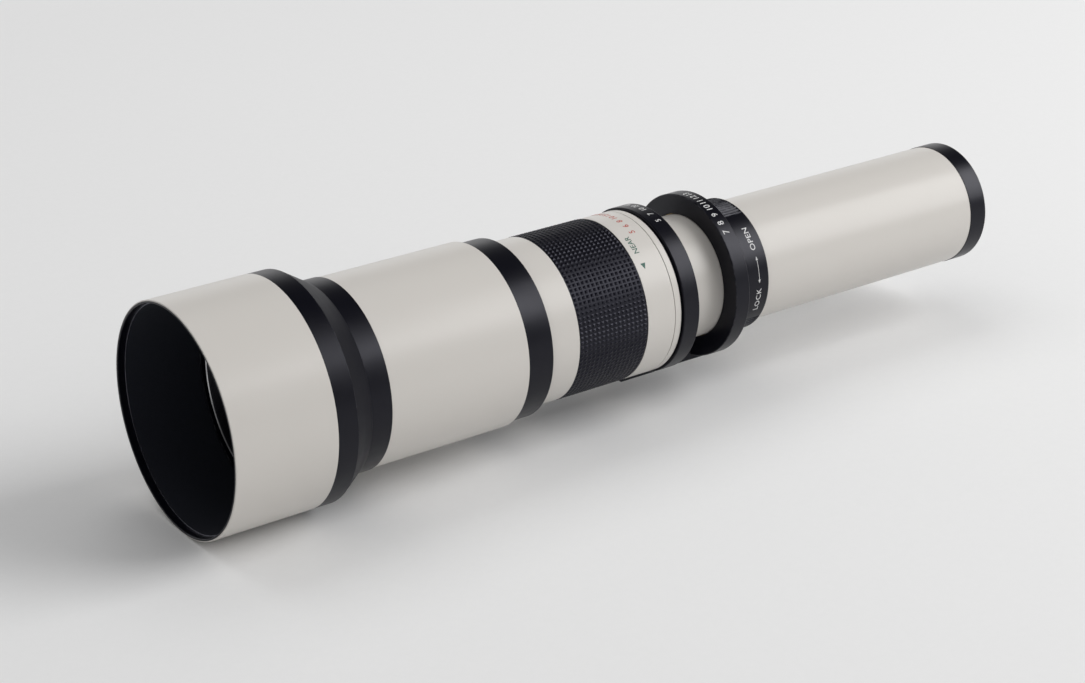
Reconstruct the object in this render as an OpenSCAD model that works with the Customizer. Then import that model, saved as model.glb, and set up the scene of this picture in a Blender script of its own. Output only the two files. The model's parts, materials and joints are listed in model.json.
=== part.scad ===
/* [Hood] */
// How far the hood stands out from the nose of the lens
hood_rise = 9.8; // [8.5:0.1:14]
// Length of the pale tube of the hood
hood_tube_len = 54.3; // [40:0.1:80]
// Length of the straight dark band behind the pale tube
hood_band_len = 10.9; // [6:0.1:20]
// Length of the cone that narrows to the lens
hood_cone_len = 12.8; // [10:0.1:20]
// Wall at the rear end of the cone
hood_cone_wall = 1.2; // [1:0.1:3]
// Wall of the hood tube
hood_wall = 1.6; // [1:0.1:2.5]
// Thickness of the dark lining inside the hood
lining_t = 0.45; // [0.2:0.05:1]
// Distance from the hood's rim to the lining
lining_setback = 4.1; // [1:0.1:10]
// Length of the hood's bore that grips the nose of the lens
hood_grip_len = 8; // [5:0.1:9]

/* [Nose] */
// How far the dark nose stands out from the main barrel
nose_rise = 0.4; // [0.2:0.1:1]
// Length of the nose inside the hood
nose_len = 35; // [35:0.5:45]
// Length of the nose that shows behind the hood
nose_band_len = 12; // [10:0.1:20]
// Wall of the nose around the filter thread
filter_wall = 1.2; // [0.8:0.1:1.8]
// Depth of the filter thread
filter_depth = 6; // [4:0.5:8]

/* [Barrel] */
// How far the main barrel stands out from the dark band behind it
barrel_rise = 1.6; // [1:0.1:3]
// Length of the pale main barrel
barrel_len = 79.7; // [76:0.1:110]
// Wall of the main barrel
barrel_wall = 2.5; // [2:0.1:3]
// How far the dark band stands out from the focus ring
mid_rise = 3.6; // [2.5:0.1:5]
// Length of the dark band
mid_band_len = 15.6; // [12:0.1:22]

/* [Focus ring] */
// Wall of the pale focus ring
focus_wall = 2.1; // [1.8:0.1:3]
// Length of the focus ring
focus_len = 78.7; // [74:0.1:100]
// Distance from the front of the focus ring to the rubber grip
grip_start = 18.4; // [5:0.1:25]
// Length of the rubber grip
grip_len = 43.1; // [30:0.1:44]
// How far the rubber grip stands out from the focus ring
grip_rise = 0.2; // [0.1:0.1:1]
// Rows of studs along the rubber grip
grip_rows = 16; // [10:1:24]
// How far the focusing lenses move from far to near
focus_travel = 12; // [6:0.5:12]

/* [Rear rings] */
// Length of the fixed pale ring behind the focus ring
fixed_ring_len = 3.8; // [3:0.1:8]
// How far the dark index ring stands out from the focus ring
index_rise = 1.1; // [0.8:0.1:2]
// Length of the index ring
index_len = 11; // [10:0.1:15]
// Length of the zoom tube that shows ahead of the collar
neck_len = 24.6; // [20:0.1:40]
// How far the collar ring stands out from the zoom tube
collar_rise = 11; // [9.5:0.1:12]
// Length of the collar ring
collar_len = 9; // [8:0.1:14]
// Wall of the lock ring
lock_wall = 1.5; // [1.4:0.1:3]
// Length of the lock ring
lock_len = 19.6; // [16:0.1:26]
// Ribs that a full turn of the lock ring would hold
lock_ribs = 104; // [60:4:108]
// Angle of the smooth panel on the lock ring
panel_angle = 103; // [90:1:120]
// Middle of the smooth panel, turned from the top
panel_centre = 72.7; // [60:0.1:90]

/* [Zoom tube] */
// Outside radius of the pale zoom tube, on which the rings around it are built up
tube_r = 33.1; // [31:0.1:36]
// Wall of the zoom tube
tube_wall = 1.8; // [1.4:0.1:2]
// How far the zoom tube slides into the barrel
zoom_travel = 145; // [120:1:150]
// Gap that stays between the lock ring and the tail ring when the tube is fully in
tail_gap = 4.5; // [2:0.1:20]
// How far the tail ring stands out from the zoom tube
tail_rise = 0.25; // [0.2:0.05:1.5]
// Length of the tail ring
tail_len = 11.6; // [10:0.1:16]

/* [Camera mount] */
// Radius of the camera mount's outside thread
thread_r = 21; // [20.5:0.1:21.5]
// Length of the outside thread
thread_len = 5; // [4:0.5:8]
// Wall of the mount between its thread and the light path
thread_wall = 2.5; // [2:0.1:4]
// Radius of the mount's flange
flange_r = 28; // [27.5:0.1:28.5]
// Thickness of the mount's flange
flange_t = 3.5; // [3:0.1:4]

/* [Tripod foot] */
// Width of the tripod foot
foot_w = 16; // [14:0.5:20]
// Thickness of the foot under the rings that it carries
foot_wall = 1.9; // [1.7:0.1:8]
// Extra drop of the pad at the front of the foot
pad_drop = 0.6; // [0.2:0.1:2]
// How far the foot reaches ahead of the index ring
foot_reach = 11.4; // [5:0.1:15]
// Radius of the tripod thread
socket_r = 3.175; // [3.175, 4.7625]
// Depth of the tripod thread
socket_depth = 10.5; // [8:0.5:10.5]

/* [Lens cells] */
// Wall of the cell around the front pair of lenses
objective_cell_wall = 1.6; // [1.2:0.1:4]
// Wall of the cell around the focusing pair of lenses
focus_cell_wall = 3; // [2.8:0.1:5]
// Wall of the cell around the zooming pair of lenses
zoom_cell_wall = 2.6; // [2:0.1:5]
// Wall of the cell around the two rear lenses
rear_cell_wall = 11.1; // [9:0.1:15]

/* [Hidden] */
$fn = 96;

pale = [0.84, 0.82, 0.78];
dark = [0.10, 0.10, 0.12];
black = [0.05, 0.05, 0.06];
rubber = [0.13, 0.13, 0.16];
brass = [0.72, 0.58, 0.30];
steel = [0.70, 0.70, 0.72];
felt = [0.16, 0.15, 0.15];
lens_tint = [0.62, 0.75, 0.85, 0.5];

// Clearances: of a turning or sliding fit, of a seat, of a seam, and of parts that only pass
run_fit = 0.1;
slide_fit = 0.05;
seam = 0.3;
pass_gap = 0.35;

// How far a cut runs past the face it opens, and how far two joined blocks run into each other
cut = 1;
eps = 0.01;

// Stations along the optical axis, from the camera mount's seat at zero to the hood's rim
x_tail = -tail_len;
x_lock_rear = x_tail - tail_gap - zoom_travel;
x_lock_front = x_lock_rear - lock_len;
x_collar_rear = x_lock_front - seam;
x_collar_front = x_collar_rear - collar_len;
x_index_rear = x_collar_front - neck_len;
x_index_front = x_index_rear - index_len;
x_fixed_front = x_index_front - fixed_ring_len;
x_focus_rear = x_fixed_front - seam;
x_focus_front = x_focus_rear - focus_len;
x_mid_rear = x_focus_front - seam;
x_mid_front = x_mid_rear - mid_band_len;
x_barrel_front = x_mid_front - barrel_len;
x_hood_rear = x_barrel_front - nose_band_len;
x_nose_front = x_hood_rear - nose_len;
x_cone = x_hood_rear - hood_cone_len;
x_band = x_cone - hood_band_len;
x_hood_front = x_band - hood_tube_len;

// Radii of the pieces around the zoom tube, each built up on the one inside it
stop_t = 3.75;
stop_r = tube_r + slide_fit + stop_t;
stop_gap = 0.5;
carrier_wall = 1.7;
carrier_inner_r = stop_r + stop_gap;
carrier_r = carrier_inner_r + carrier_wall;
guide_wall = 1.7;
guide_inner_r = carrier_r + run_fit;
guide_r = guide_inner_r + guide_wall;
focus_r = guide_r + run_fit + focus_wall;
grip_r = focus_r + grip_rise;
index_r = focus_r + index_rise;
mid_band_r = focus_r + mid_rise;
barrel_r = mid_band_r + barrel_rise;
nose_r = barrel_r + nose_rise;
filter_r = nose_r - filter_wall;
hood_r = nose_r + hood_rise;
collar_r = tube_r + collar_rise;
collet_wall = 1.05;
collet_r = tube_r + slide_fit + collet_wall;
lock_r = collet_r + run_fit + lock_wall;
tail_r = tube_r + tail_rise;
foot_drop = max(index_r, collar_r) + foot_wall;

// Chamfers of the edges that show
edge = 0.4;
fine_edge = 0.15;

// Hood
hood_inner_r = hood_r - hood_wall;
hood_spigot_len = 10;
hood_spigot_wall = 1.5;
hood_spigot_r = hood_inner_r - slide_fit;
hood_inside_r = hood_spigot_r - hood_spigot_wall;
band_inset = 0.1;
band_rounding = 1;
band_bulge = 0.3;
hood_cone_end_r = nose_r + run_fit + hood_cone_wall;
cone_wall_run = 4;

// Steps of a lens face from its middle to its edge
lens_steps = 14;

// Nose and the front pair of lenses
glass_fit = 0.1;
lip = 2;
nose_wall = 2.45;
objective_cell_r = nose_r - nose_wall - slide_fit;
objective_bore = objective_cell_r - objective_cell_wall;
objective_r = objective_bore - glass_fit;
objective_setback = 4;
retainer_inset = 0.5;
retainer_len = 3;
small_retainer_len = 2;
objective_cell_len = 22;
x_objective_cell = x_nose_front + filter_depth + objective_setback;
x_objective_cell_rear = x_objective_cell + objective_cell_len;
x_objective_glass = x_objective_cell + retainer_inset + retainer_len;
x_objective_glass_rear = x_objective_cell_rear - lip;
crown_edge = 2.5;
crown_front_sag = 4.5;
crown_rear_sag = 5.5;
flint_rear_sag = 0.8;
crown_rise = face(objective_r, crown_front_sag, objective_r - lip);
flint_rise = face(objective_r, flint_rear_sag, objective_r - lip);
cement = 0.1;
nose_step = 1;
nose_shoulder_r = objective_r - nose_step;
barrel_spigot_len = 9.7;
barrel_spigot_drop = 1.3;
barrel_spigot_r = barrel_r - barrel_spigot_drop;
barrel_inner_r = barrel_r - barrel_wall;

// Guide tube and focusing carrier
guide_overhang = 19.7;
x_guide_front = x_mid_front - guide_overhang;
index_wall = 3;
x_guide_rear = x_index_rear - index_wall;
mid_spigot_len = 9.7;
mid_spigot_wall = 2.25;
carrier_start = 2;
carrier_tail = 21;
pin_r = 2;
pin_count = 3;
pin_place = 29.4;
x_pin = x_focus_front + pin_place;
x_carrier_front = x_barrel_front + carrier_start;
x_carrier_rear = x_pin + carrier_tail;
focus_bore = carrier_r - focus_cell_wall;
focus_glass_r = focus_bore - glass_fit;
focus_cell_len = 16.5;
focus_lip = 2.5;
x_focus_glass = x_carrier_front + retainer_inset + small_retainer_len;
x_focus_glass_rear = x_carrier_front + focus_cell_len - focus_lip;
focus_crown_edge = 2;
focus_front_sag = 3;
focus_middle_sag = 3.2;
focus_rear_sag = -1.5;
focus_rise = face(focus_glass_r, focus_front_sag, focus_glass_r - lip);

// Grip
grip_seat_depth = 1.2;
grip_seat_r = focus_r - grip_seat_depth;
x_grip = x_focus_front + grip_start;
row_pitch = grip_len / grip_rows;
row_groove = 0.5;
row_flat = 0.3;
row_slope = 0.12;

// Index ring and felt
index_step = 1;
index_step_drop = 1.8;
index_slope = 0.6;
boss_gap = 0.3;
boss_r = guide_inner_r - slide_fit;
felt_t = 1.85;
felt_seat_r = tube_r + slide_fit + felt_t;

// Collar and lock
collet_seat = 7;
collet_len = 25;
collet_slits = 6;
slit_w = 1.2;
slit_len = 15;
lock_lip = 1.6;
x_collet = x_collar_rear - collet_seat;
x_collet_rear = x_collet + collet_len;
rib_r = 0.75;
rib_depth = 0.45;
rib_front_rim = 1.2;
rib_rear_rim = 0.4;

// Zoom tube
tube_inner_r = tube_r - tube_wall;
cell_r = tube_inner_r - run_fit;
tube_overlap = 17.4;
x_tube_front = x_index_rear - tube_overlap;
stop_len = 5.7;
zoom_cell_start = 1.6;
zoom_cell_len = 18;
zoom_lip = 3;
x_zoom_cell = x_tube_front + zoom_cell_start;
zoom_bore = cell_r - zoom_cell_wall;
zoom_glass_r = zoom_bore - glass_fit;
x_zoom_glass = x_zoom_cell + retainer_inset + small_retainer_len;
x_zoom_glass_rear = x_zoom_cell + zoom_cell_len - zoom_lip;
zoom_front_edge = 5;
zoom_sag = 2.5;
baffle_t = 1;
baffle_width = 7.2;
baffle_r = cell_r - baffle_width;
baffle_places = [66, 126];
rear_cell_len = 24;
rear_cell_gap = 18;
x_rear_cell_rear = x_tail - rear_cell_gap;
x_rear_cell = x_rear_cell_rear - rear_cell_len;
rear_bore = cell_r - rear_cell_wall;
rear_glass_r = rear_bore - glass_fit;
rear_web = 3;
x_web = x_rear_cell + (rear_cell_len - rear_web) / 2;
rear_glass_edge = 6;
rear_glass_sag = 2;
rear_rise = face(rear_glass_r, rear_glass_sag, rear_glass_r - lip);
x_relay_retainer = x_web - rear_glass_edge - small_retainer_len;
x_rear_retainer = x_web + rear_web + rear_glass_edge + rear_rise;

// Tail ring and camera mount
tail_spigot_len = 12;
tail_spigot_wall = 1.65;
tail_inner_r = tube_inner_r - slide_fit - tail_spigot_wall;
tail_wall_t = 7;
thread_bore_r = thread_r - thread_wall;
tail_bore_step = 2;
tail_bore_r = thread_bore_r + tail_bore_step;
tail_chamfer = 0.75;
mount_screw_count = 3;
mount_screw_pcr = (thread_r + flange_r) / 2;
mount_screw_r = 1;
mount_screw_head = 1.8;
mount_screw_sink = 1;
mount_screw_len = 5;
thread_lead = 0.4;

// Tripod foot
x_foot = x_index_front - foot_reach;
pad_bottom = foot_drop + pad_drop;
x_socket = (x_index_rear + x_collar_front) / 2;
bush_wall = 1.8;
bush_r = socket_r + bush_wall;
neck_gap = 0.6;
saddle_depth = 3;
block_top = tube_r - saddle_depth;
foot_screw_y = 4.5;
foot_screw_r = 1.5;
foot_screw_hole = 1.7;
foot_screw_head = 2.9;
foot_screw_sink = 1.4;
foot_screw_bite = 2.4;
foot_screw_inset = 4.1;
x_screw_front = x_index_front + foot_screw_inset;
x_screw_rear = (x_collar_front + x_collar_rear) / 2;

// A solid turned about the optical axis; each point is [radius, station]
module turned(points) {
    rotate([0, 90, 0])
        rotate_extrude()
            polygon(points);
}

// A plain sleeve between two stations
module sleeve(x0, x1, outer, inner) {
    turned([[inner, x0], [outer, x0], [outer, x1], [inner, x1]]);
}

// A rod on the optical axis
module rod(x0, x1, r) {
    translate([x0, 0, 0])
        rotate([0, 90, 0])
            cylinder(h = x1 - x0, r = r);
}

// Radius of the sphere that rises by sag over a lens of radius r
function ball(r, sag) = (r * r + sag * sag) / (2 * sag);

// Height of a spherical face over its edge, at radius q, for a lens of radius r
function face(r, sag, q) =
    sag == 0 ? 0 : sign(sag) * (sqrt(pow(ball(r, abs(sag)), 2) - q * q) - ball(r, abs(sag)) + abs(sag));

// A lens whose edge runs from x0 to x1; a face with a negative sag is hollow
module lens(x0, x1, r, sag0, sag1) {
    turned(concat(
        [for (i = [0 : lens_steps]) [r * i / lens_steps, x0 - face(r, sag0, r * i / lens_steps)]],
        [for (i = [lens_steps : -1 : 0]) [r * i / lens_steps, x1 + face(r, sag1, r * i / lens_steps)]]
    ));
}

// A screw with a sunk head, its head's flat face at the origin and its shank towards +Z
module sunk_screw(shank_r, head_r, sink, length) {
    cylinder(h = sink, r1 = head_r, r2 = shank_r);
    cylinder(h = length, r = shank_r);
}

module hood_tube() {
    color(pale)
        turned([
            [hood_inner_r, x_hood_front + edge],
            [hood_inner_r + edge, x_hood_front],
            [hood_r - edge, x_hood_front],
            [hood_r, x_hood_front + edge],
            [hood_r, x_band],
            [hood_inner_r, x_band]
        ]);
}

module hood_base() {
    band_r = hood_r - band_inset;
    color(dark)
        turned([
            [hood_inside_r, x_band - hood_spigot_len],
            [hood_spigot_r, x_band - hood_spigot_len],
            [hood_spigot_r, x_band],
            [band_r, x_band],
            [band_r, x_cone - band_rounding],
            [band_r - band_bulge, x_cone - band_bulge],
            [hood_cone_end_r, x_hood_rear],
            [nose_r + run_fit, x_hood_rear],
            [nose_r + run_fit, x_hood_rear - hood_grip_len],
            [hood_inside_r, x_hood_rear - hood_grip_len - cone_wall_run]
        ]);
}

module hood_lining() {
    color(black)
        sleeve(x_hood_front + lining_setback, x_band - hood_spigot_len,
               hood_inner_r - slide_fit, hood_inner_r - slide_fit - lining_t);
}

module front_barrel() {
    x_socket_start = x_barrel_front - barrel_spigot_len - seam;
    color(dark)
        turned([
            [filter_r, x_nose_front],
            [nose_r - edge, x_nose_front],
            [nose_r, x_nose_front + edge],
            [nose_r, x_barrel_front - fine_edge],
            [nose_r - fine_edge, x_barrel_front],
            [barrel_spigot_r + slide_fit, x_barrel_front],
            [barrel_spigot_r + slide_fit, x_socket_start],
            [nose_shoulder_r, x_socket_start],
            [nose_shoulder_r, x_objective_cell_rear],
            [objective_cell_r + slide_fit, x_objective_cell_rear],
            [objective_cell_r + slide_fit, x_nose_front + filter_depth],
            [filter_r, x_nose_front + filter_depth]
        ]);
}

module objective_cell() {
    color(black)
        turned([
            [objective_bore, x_objective_cell],
            [objective_cell_r, x_objective_cell],
            [objective_cell_r, x_objective_cell_rear],
            [objective_r - lip, x_objective_cell_rear],
            [objective_r - lip, x_objective_glass_rear],
            [objective_bore, x_objective_glass_rear]
        ]);
}

module objective_crown() {
    color(lens_tint)
        lens(x_objective_glass, x_objective_glass + crown_edge, objective_r, crown_front_sag, crown_rear_sag);
}

module objective_flint() {
    color(lens_tint)
        lens(x_objective_glass + crown_edge + cement, x_objective_glass_rear - flint_rise, objective_r,
             -crown_rear_sag, flint_rear_sag);
}

module objective_retainer() {
    color(black)
        sleeve(x_objective_cell + retainer_inset, x_objective_glass - crown_rise,
               objective_bore - slide_fit, objective_r - lip);
}

module main_barrel() {
    color(pale)
        turned([
            [barrel_inner_r, x_barrel_front - barrel_spigot_len],
            [barrel_spigot_r, x_barrel_front - barrel_spigot_len],
            [barrel_spigot_r, x_barrel_front],
            [barrel_r - fine_edge, x_barrel_front],
            [barrel_r, x_barrel_front + fine_edge],
            [barrel_r, x_mid_front - fine_edge],
            [barrel_r - fine_edge, x_mid_front],
            [barrel_inner_r, x_mid_front]
        ]);
}

module mid_band() {
    spigot_r = barrel_inner_r - slide_fit;
    color(dark)
        turned([
            [spigot_r - mid_spigot_wall, x_mid_front - mid_spigot_len],
            [spigot_r, x_mid_front - mid_spigot_len],
            [spigot_r, x_mid_front],
            [mid_band_r, x_mid_front],
            [mid_band_r, x_mid_rear - edge],
            [mid_band_r - edge, x_mid_rear],
            [guide_r + slide_fit, x_mid_rear],
            [guide_r + slide_fit, x_mid_front],
            [spigot_r - mid_spigot_wall, x_mid_front]
        ]);
}

module focus_guide_tube() {
    color(brass)
        difference() {
            sleeve(x_guide_front, x_guide_rear, guide_r, guide_inner_r);
            for (i = [0 : pin_count - 1])
                rotate([i * 360 / pin_count, 0, 0])
                    pin_slot();
        }
}

// The straight slot that one drive pin runs along, cut through the top of the guide tube
module pin_slot() {
    half = pin_r + run_fit;
    for (x = [x_pin - focus_travel, x_pin])
        translate([x, 0, guide_inner_r - cut])
            cylinder(h = guide_wall + 2 * cut, r = half);
    translate([x_pin - focus_travel, -half, guide_inner_r - cut])
        cube([focus_travel, 2 * half, guide_wall + 2 * cut]);
}

module rear_fixed_ring() {
    color(pale)
        turned([
            [guide_r + slide_fit, x_fixed_front],
            [focus_r - fine_edge, x_fixed_front],
            [focus_r, x_fixed_front + fine_edge],
            [focus_r, x_index_front - edge],
            [focus_r - edge, x_index_front],
            [guide_r + slide_fit, x_index_front]
        ]);
}

module index_ring() {
    step_r = index_r - index_step_drop;
    x_slope = x_index_front + index_step;
    shell_r = guide_r + slide_fit;
    color(dark)
        difference() {
            turned([
                [shell_r, x_index_front],
                [step_r, x_index_front],
                [step_r, x_slope],
                [index_r - fine_edge, x_slope + fine_edge],
                [index_r, x_slope + index_slope],
                [index_r, x_index_rear - edge],
                [index_r - edge, x_index_rear],
                [tube_r + pass_gap, x_index_rear],
                [tube_r + pass_gap, x_guide_rear],
                [felt_seat_r, x_guide_rear],
                [felt_seat_r, x_index_front + boss_gap],
                [boss_r, x_index_front + boss_gap],
                [boss_r, x_guide_rear],
                [shell_r, x_guide_rear]
            ]);
            foot_screw_places(x_screw_front, pad_bottom)
                cylinder(h = foot_screw_len(pad_bottom, index_r) + slide_fit, r = foot_screw_r + slide_fit);
        }
}

module guide_felt() {
    color(felt)
        sleeve(x_index_front + boss_gap + retainer_inset, x_guide_rear,
               felt_seat_r - slide_fit, tube_r + slide_fit);
}

module collar_ring() {
    color(dark)
        difference() {
            turned([
                [tube_r + pass_gap, x_collar_front],
                [collar_r - edge, x_collar_front],
                [collar_r, x_collar_front + edge],
                [collar_r, x_collar_rear - edge],
                [collar_r - edge, x_collar_rear],
                [collet_r + slide_fit, x_collar_rear],
                [collet_r + slide_fit, x_collet],
                [tube_r + pass_gap, x_collet]
            ]);
            foot_screw_places(x_screw_rear, foot_drop)
                cylinder(h = foot_screw_len(foot_drop, collar_r) + slide_fit, r = foot_screw_r + slide_fit);
        }
}

module lock_collet() {
    color(brass)
        difference() {
            sleeve(x_collet, x_collet_rear, collet_r, tube_r + slide_fit);
            for (i = [0 : collet_slits - 1])
                rotate([(i + 0.5) * 360 / collet_slits, 0, 0])
                    translate([x_collet_rear - slit_len, -slit_w / 2, tube_r - cut])
                        cube([slit_len + cut, slit_w, collet_r - tube_r + 2 * cut]);
        }
}

module tripod_foot() {
    color(dark)
        difference() {
            union() {
                translate([x_foot, -foot_w / 2, -foot_drop])
                    cube([x_collar_rear - x_foot, foot_w, foot_drop - block_top]);
                translate([x_foot, -foot_w / 2, -pad_bottom])
                    cube([x_index_rear - x_foot, foot_w, pad_drop + eps]);
            }
            rod(x_foot - cut, x_index_front, focus_r + pass_gap);
            rod(x_index_front - eps, x_index_rear, index_r + slide_fit);
            rod(x_index_rear - eps, x_collar_front, tube_r + neck_gap);
            rod(x_collar_front, x_collar_rear + cut, collar_r + slide_fit);
            translate([x_socket, 0, -foot_drop - cut])
                cylinder(h = socket_depth + cut, r = bush_r + slide_fit);
            foot_screw_places(x_screw_front, pad_bottom)
                foot_screw_seat(foot_screw_len(pad_bottom, index_r));
            foot_screw_places(x_screw_rear, foot_drop)
                foot_screw_seat(foot_screw_len(foot_drop, collar_r));
        }
}

// Length of a foot screw, from the face it enters at depth drop into a ring of radius ring_r
function foot_screw_len(drop, ring_r) = drop - ring_r + foot_screw_bite;

// Puts a child at the two foot screws of one station, on the underside at depth drop
module foot_screw_places(x, drop) {
    for (y = [-foot_screw_y, foot_screw_y])
        translate([x, y, -drop])
            children();
}

// The clearance hole and the sunk seat of one foot screw
module foot_screw_seat(length) {
    translate([0, 0, -cut])
        cylinder(h = length + cut, r = foot_screw_hole);
    cylinder(h = foot_screw_sink, r1 = foot_screw_head + slide_fit, r2 = foot_screw_hole);
    translate([0, 0, -cut])
        cylinder(h = cut + eps, r = foot_screw_head + slide_fit);
}

module tripod_bush() {
    color(steel)
        translate([x_socket, 0, -foot_drop])
            difference() {
                cylinder(h = socket_depth - slide_fit, r = bush_r);
                translate([0, 0, -cut])
                    cylinder(h = socket_depth + 2 * cut, r = socket_r);
            }
}

module foot_screws() {
    color(steel) {
        foot_screw_places(x_screw_front, pad_bottom)
            sunk_screw(foot_screw_r, foot_screw_head, foot_screw_sink, foot_screw_len(pad_bottom, index_r));
        foot_screw_places(x_screw_rear, foot_drop)
            sunk_screw(foot_screw_r, foot_screw_head, foot_screw_sink, foot_screw_len(foot_drop, collar_r));
    }
}

module focus_ring() {
    inner = guide_r + run_fit;
    color(pale)
        turned([
            [inner, x_focus_front],
            [focus_r - fine_edge, x_focus_front],
            [focus_r, x_focus_front + fine_edge],
            [focus_r, x_grip],
            [grip_seat_r, x_grip],
            [grip_seat_r, x_grip + grip_len],
            [focus_r, x_grip + grip_len],
            [focus_r, x_focus_rear - fine_edge],
            [focus_r - fine_edge, x_focus_rear],
            [inner, x_focus_rear]
        ]);
}

module focus_grip() {
    low = grip_r - row_groove;
    inner = grip_seat_r + slide_fit;
    color(rubber)
        turned(concat(
            [[inner, x_grip], [low, x_grip]],
            [for (i = [0 : grip_rows - 1], p = [
                [low, row_flat / 2],
                [grip_r, row_flat / 2 + row_slope],
                [grip_r, 1 - row_flat / 2 - row_slope],
                [low, 1 - row_flat / 2]
            ]) [p[0], x_grip + (i + p[1]) * row_pitch]],
            [[low, x_grip + grip_len], [inner, x_grip + grip_len]]
        ));
}

module focus_carrier() {
    lip_r = focus_glass_r - lip;
    x_cell_rear = x_carrier_front + focus_cell_len;
    color(black)
        difference() {
            turned([
                [focus_bore, x_carrier_front],
                [carrier_r, x_carrier_front],
                [carrier_r, x_carrier_rear],
                [carrier_inner_r, x_carrier_rear],
                [carrier_inner_r, x_cell_rear],
                [lip_r, x_cell_rear],
                [lip_r, x_focus_glass_rear],
                [focus_bore, x_focus_glass_rear]
            ]);
            for (i = [0 : pin_count - 1])
                rotate([i * 360 / pin_count, 0, 0])
                    translate([x_pin, 0, carrier_inner_r - cut])
                        cylinder(h = carrier_wall + 2 * cut, r = pin_r + slide_fit);
        }
}

module focus_lens_front() {
    color(lens_tint)
        lens(x_focus_glass, x_focus_glass + focus_crown_edge, focus_glass_r,
             focus_front_sag, focus_middle_sag);
}

module focus_lens_rear() {
    color(lens_tint)
        lens(x_focus_glass + focus_crown_edge + cement, x_focus_glass_rear, focus_glass_r,
             -focus_middle_sag, focus_rear_sag);
}

module focus_retainer() {
    color(black)
        sleeve(x_carrier_front + retainer_inset, x_focus_glass - focus_rise,
               focus_bore - slide_fit, focus_glass_r - lip);
}

module drive_pins() {
    color(steel)
        for (i = [0 : pin_count - 1])
            rotate([i * 360 / pin_count, 0, 0])
                translate([x_pin, 0, carrier_inner_r])
                    cylinder(h = guide_r - slide_fit - carrier_inner_r, r = pin_r);
}

module lock_ring() {
    inner = collet_r + run_fit;
    x_lip = x_lock_rear - lock_lip;
    step = 360 / lock_ribs;
    ribs = floor((360 - panel_angle) / step);
    groove_len = lock_len - rib_front_rim - rib_rear_rim;
    color(dark)
        rotate([panel_centre, 0, 0])
            difference() {
                turned([
                    [inner, x_lock_front],
                    [lock_r, x_lock_front],
                    [lock_r, x_lock_rear - edge],
                    [lock_r - edge, x_lock_rear],
                    [tube_r + pass_gap, x_lock_rear],
                    [tube_r + pass_gap, x_lip],
                    [inner, x_lip]
                ]);
                for (i = [0 : ribs - 1])
                    rotate([180 + (i - (ribs - 1) / 2) * step, 0, 0])
                        translate([x_lock_front + rib_front_rim, 0, lock_r + rib_r - rib_depth])
                            rotate([0, 90, 0])
                                cylinder(h = groove_len, r = rib_r);
            }
}

module zoom_tube() {
    color(pale)
        sleeve(x_tube_front, x_tail, tube_r, tube_inner_r);
}

module tube_stop_ring() {
    color(black)
        sleeve(x_tube_front, x_tube_front + stop_len, stop_r, tube_r + slide_fit);
}

module zoom_cell() {
    inner = zoom_glass_r - lip;
    x_rear = x_zoom_cell + zoom_cell_len;
    color(black)
        turned([
            [zoom_bore, x_zoom_cell],
            [cell_r, x_zoom_cell],
            [cell_r, x_rear],
            [inner, x_rear],
            [inner, x_zoom_glass_rear],
            [zoom_bore, x_zoom_glass_rear]
        ]);
}

module zoom_lens_front() {
    color(lens_tint)
        lens(x_zoom_glass, x_zoom_glass + zoom_front_edge, zoom_glass_r, -zoom_sag, zoom_sag);
}

module zoom_lens_rear() {
    color(lens_tint)
        lens(x_zoom_glass + zoom_front_edge + cement, x_zoom_glass_rear, zoom_glass_r, -zoom_sag, -zoom_sag);
}

module zoom_retainer() {
    color(black)
        sleeve(x_zoom_cell + retainer_inset, x_zoom_glass, zoom_bore - slide_fit, zoom_glass_r - lip);
}

module tube_baffles() {
    color(black)
        for (place = baffle_places)
            sleeve(x_tube_front + place, x_tube_front + place + baffle_t, cell_r, baffle_r);
}

module rear_cell() {
    inner = rear_glass_r - lip;
    color(black)
        turned([
            [rear_bore, x_rear_cell],
            [cell_r, x_rear_cell],
            [cell_r, x_rear_cell_rear],
            [rear_bore, x_rear_cell_rear],
            [rear_bore, x_web + rear_web],
            [inner, x_web + rear_web],
            [inner, x_web],
            [rear_bore, x_web]
        ]);
}

module relay_lens() {
    color(lens_tint)
        lens(x_web - rear_glass_edge, x_web, rear_glass_r, -rear_glass_sag, -rear_glass_sag);
}

module rear_lens() {
    color(lens_tint)
        lens(x_web + rear_web, x_web + rear_web + rear_glass_edge, rear_glass_r,
             -rear_glass_sag, rear_glass_sag);
}

module rear_retainers() {
    color(black)
        for (x = [x_relay_retainer, x_rear_retainer])
            sleeve(x, x + small_retainer_len, rear_bore - slide_fit, rear_glass_r - lip);
}

module tail_ring() {
    x_wall = -tail_wall_t;
    spigot_r = tube_inner_r - slide_fit;
    color(dark)
        difference() {
            turned([
                [tail_inner_r, x_tail - tail_spigot_len],
                [spigot_r, x_tail - tail_spigot_len],
                [spigot_r, x_tail],
                [tail_r - fine_edge, x_tail],
                [tail_r, x_tail + fine_edge],
                [tail_r, -tail_chamfer],
                [tail_r - tail_chamfer, 0],
                [flange_r + slide_fit, 0],
                [flange_r + slide_fit, -flange_t],
                [tail_bore_r, -flange_t],
                [tail_bore_r, x_wall],
                [tail_inner_r, x_wall]
            ]);
            mount_screw_places()
                rotate([0, -90, 0])
                    cylinder(h = mount_screw_len + slide_fit, r = mount_screw_r + slide_fit);
        }
}

// Puts a child at each camera mount screw, on the seat face
module mount_screw_places() {
    for (i = [0 : mount_screw_count - 1])
        rotate([i * 360 / mount_screw_count, 0, 0])
            translate([0, 0, mount_screw_pcr])
                children();
}

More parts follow.
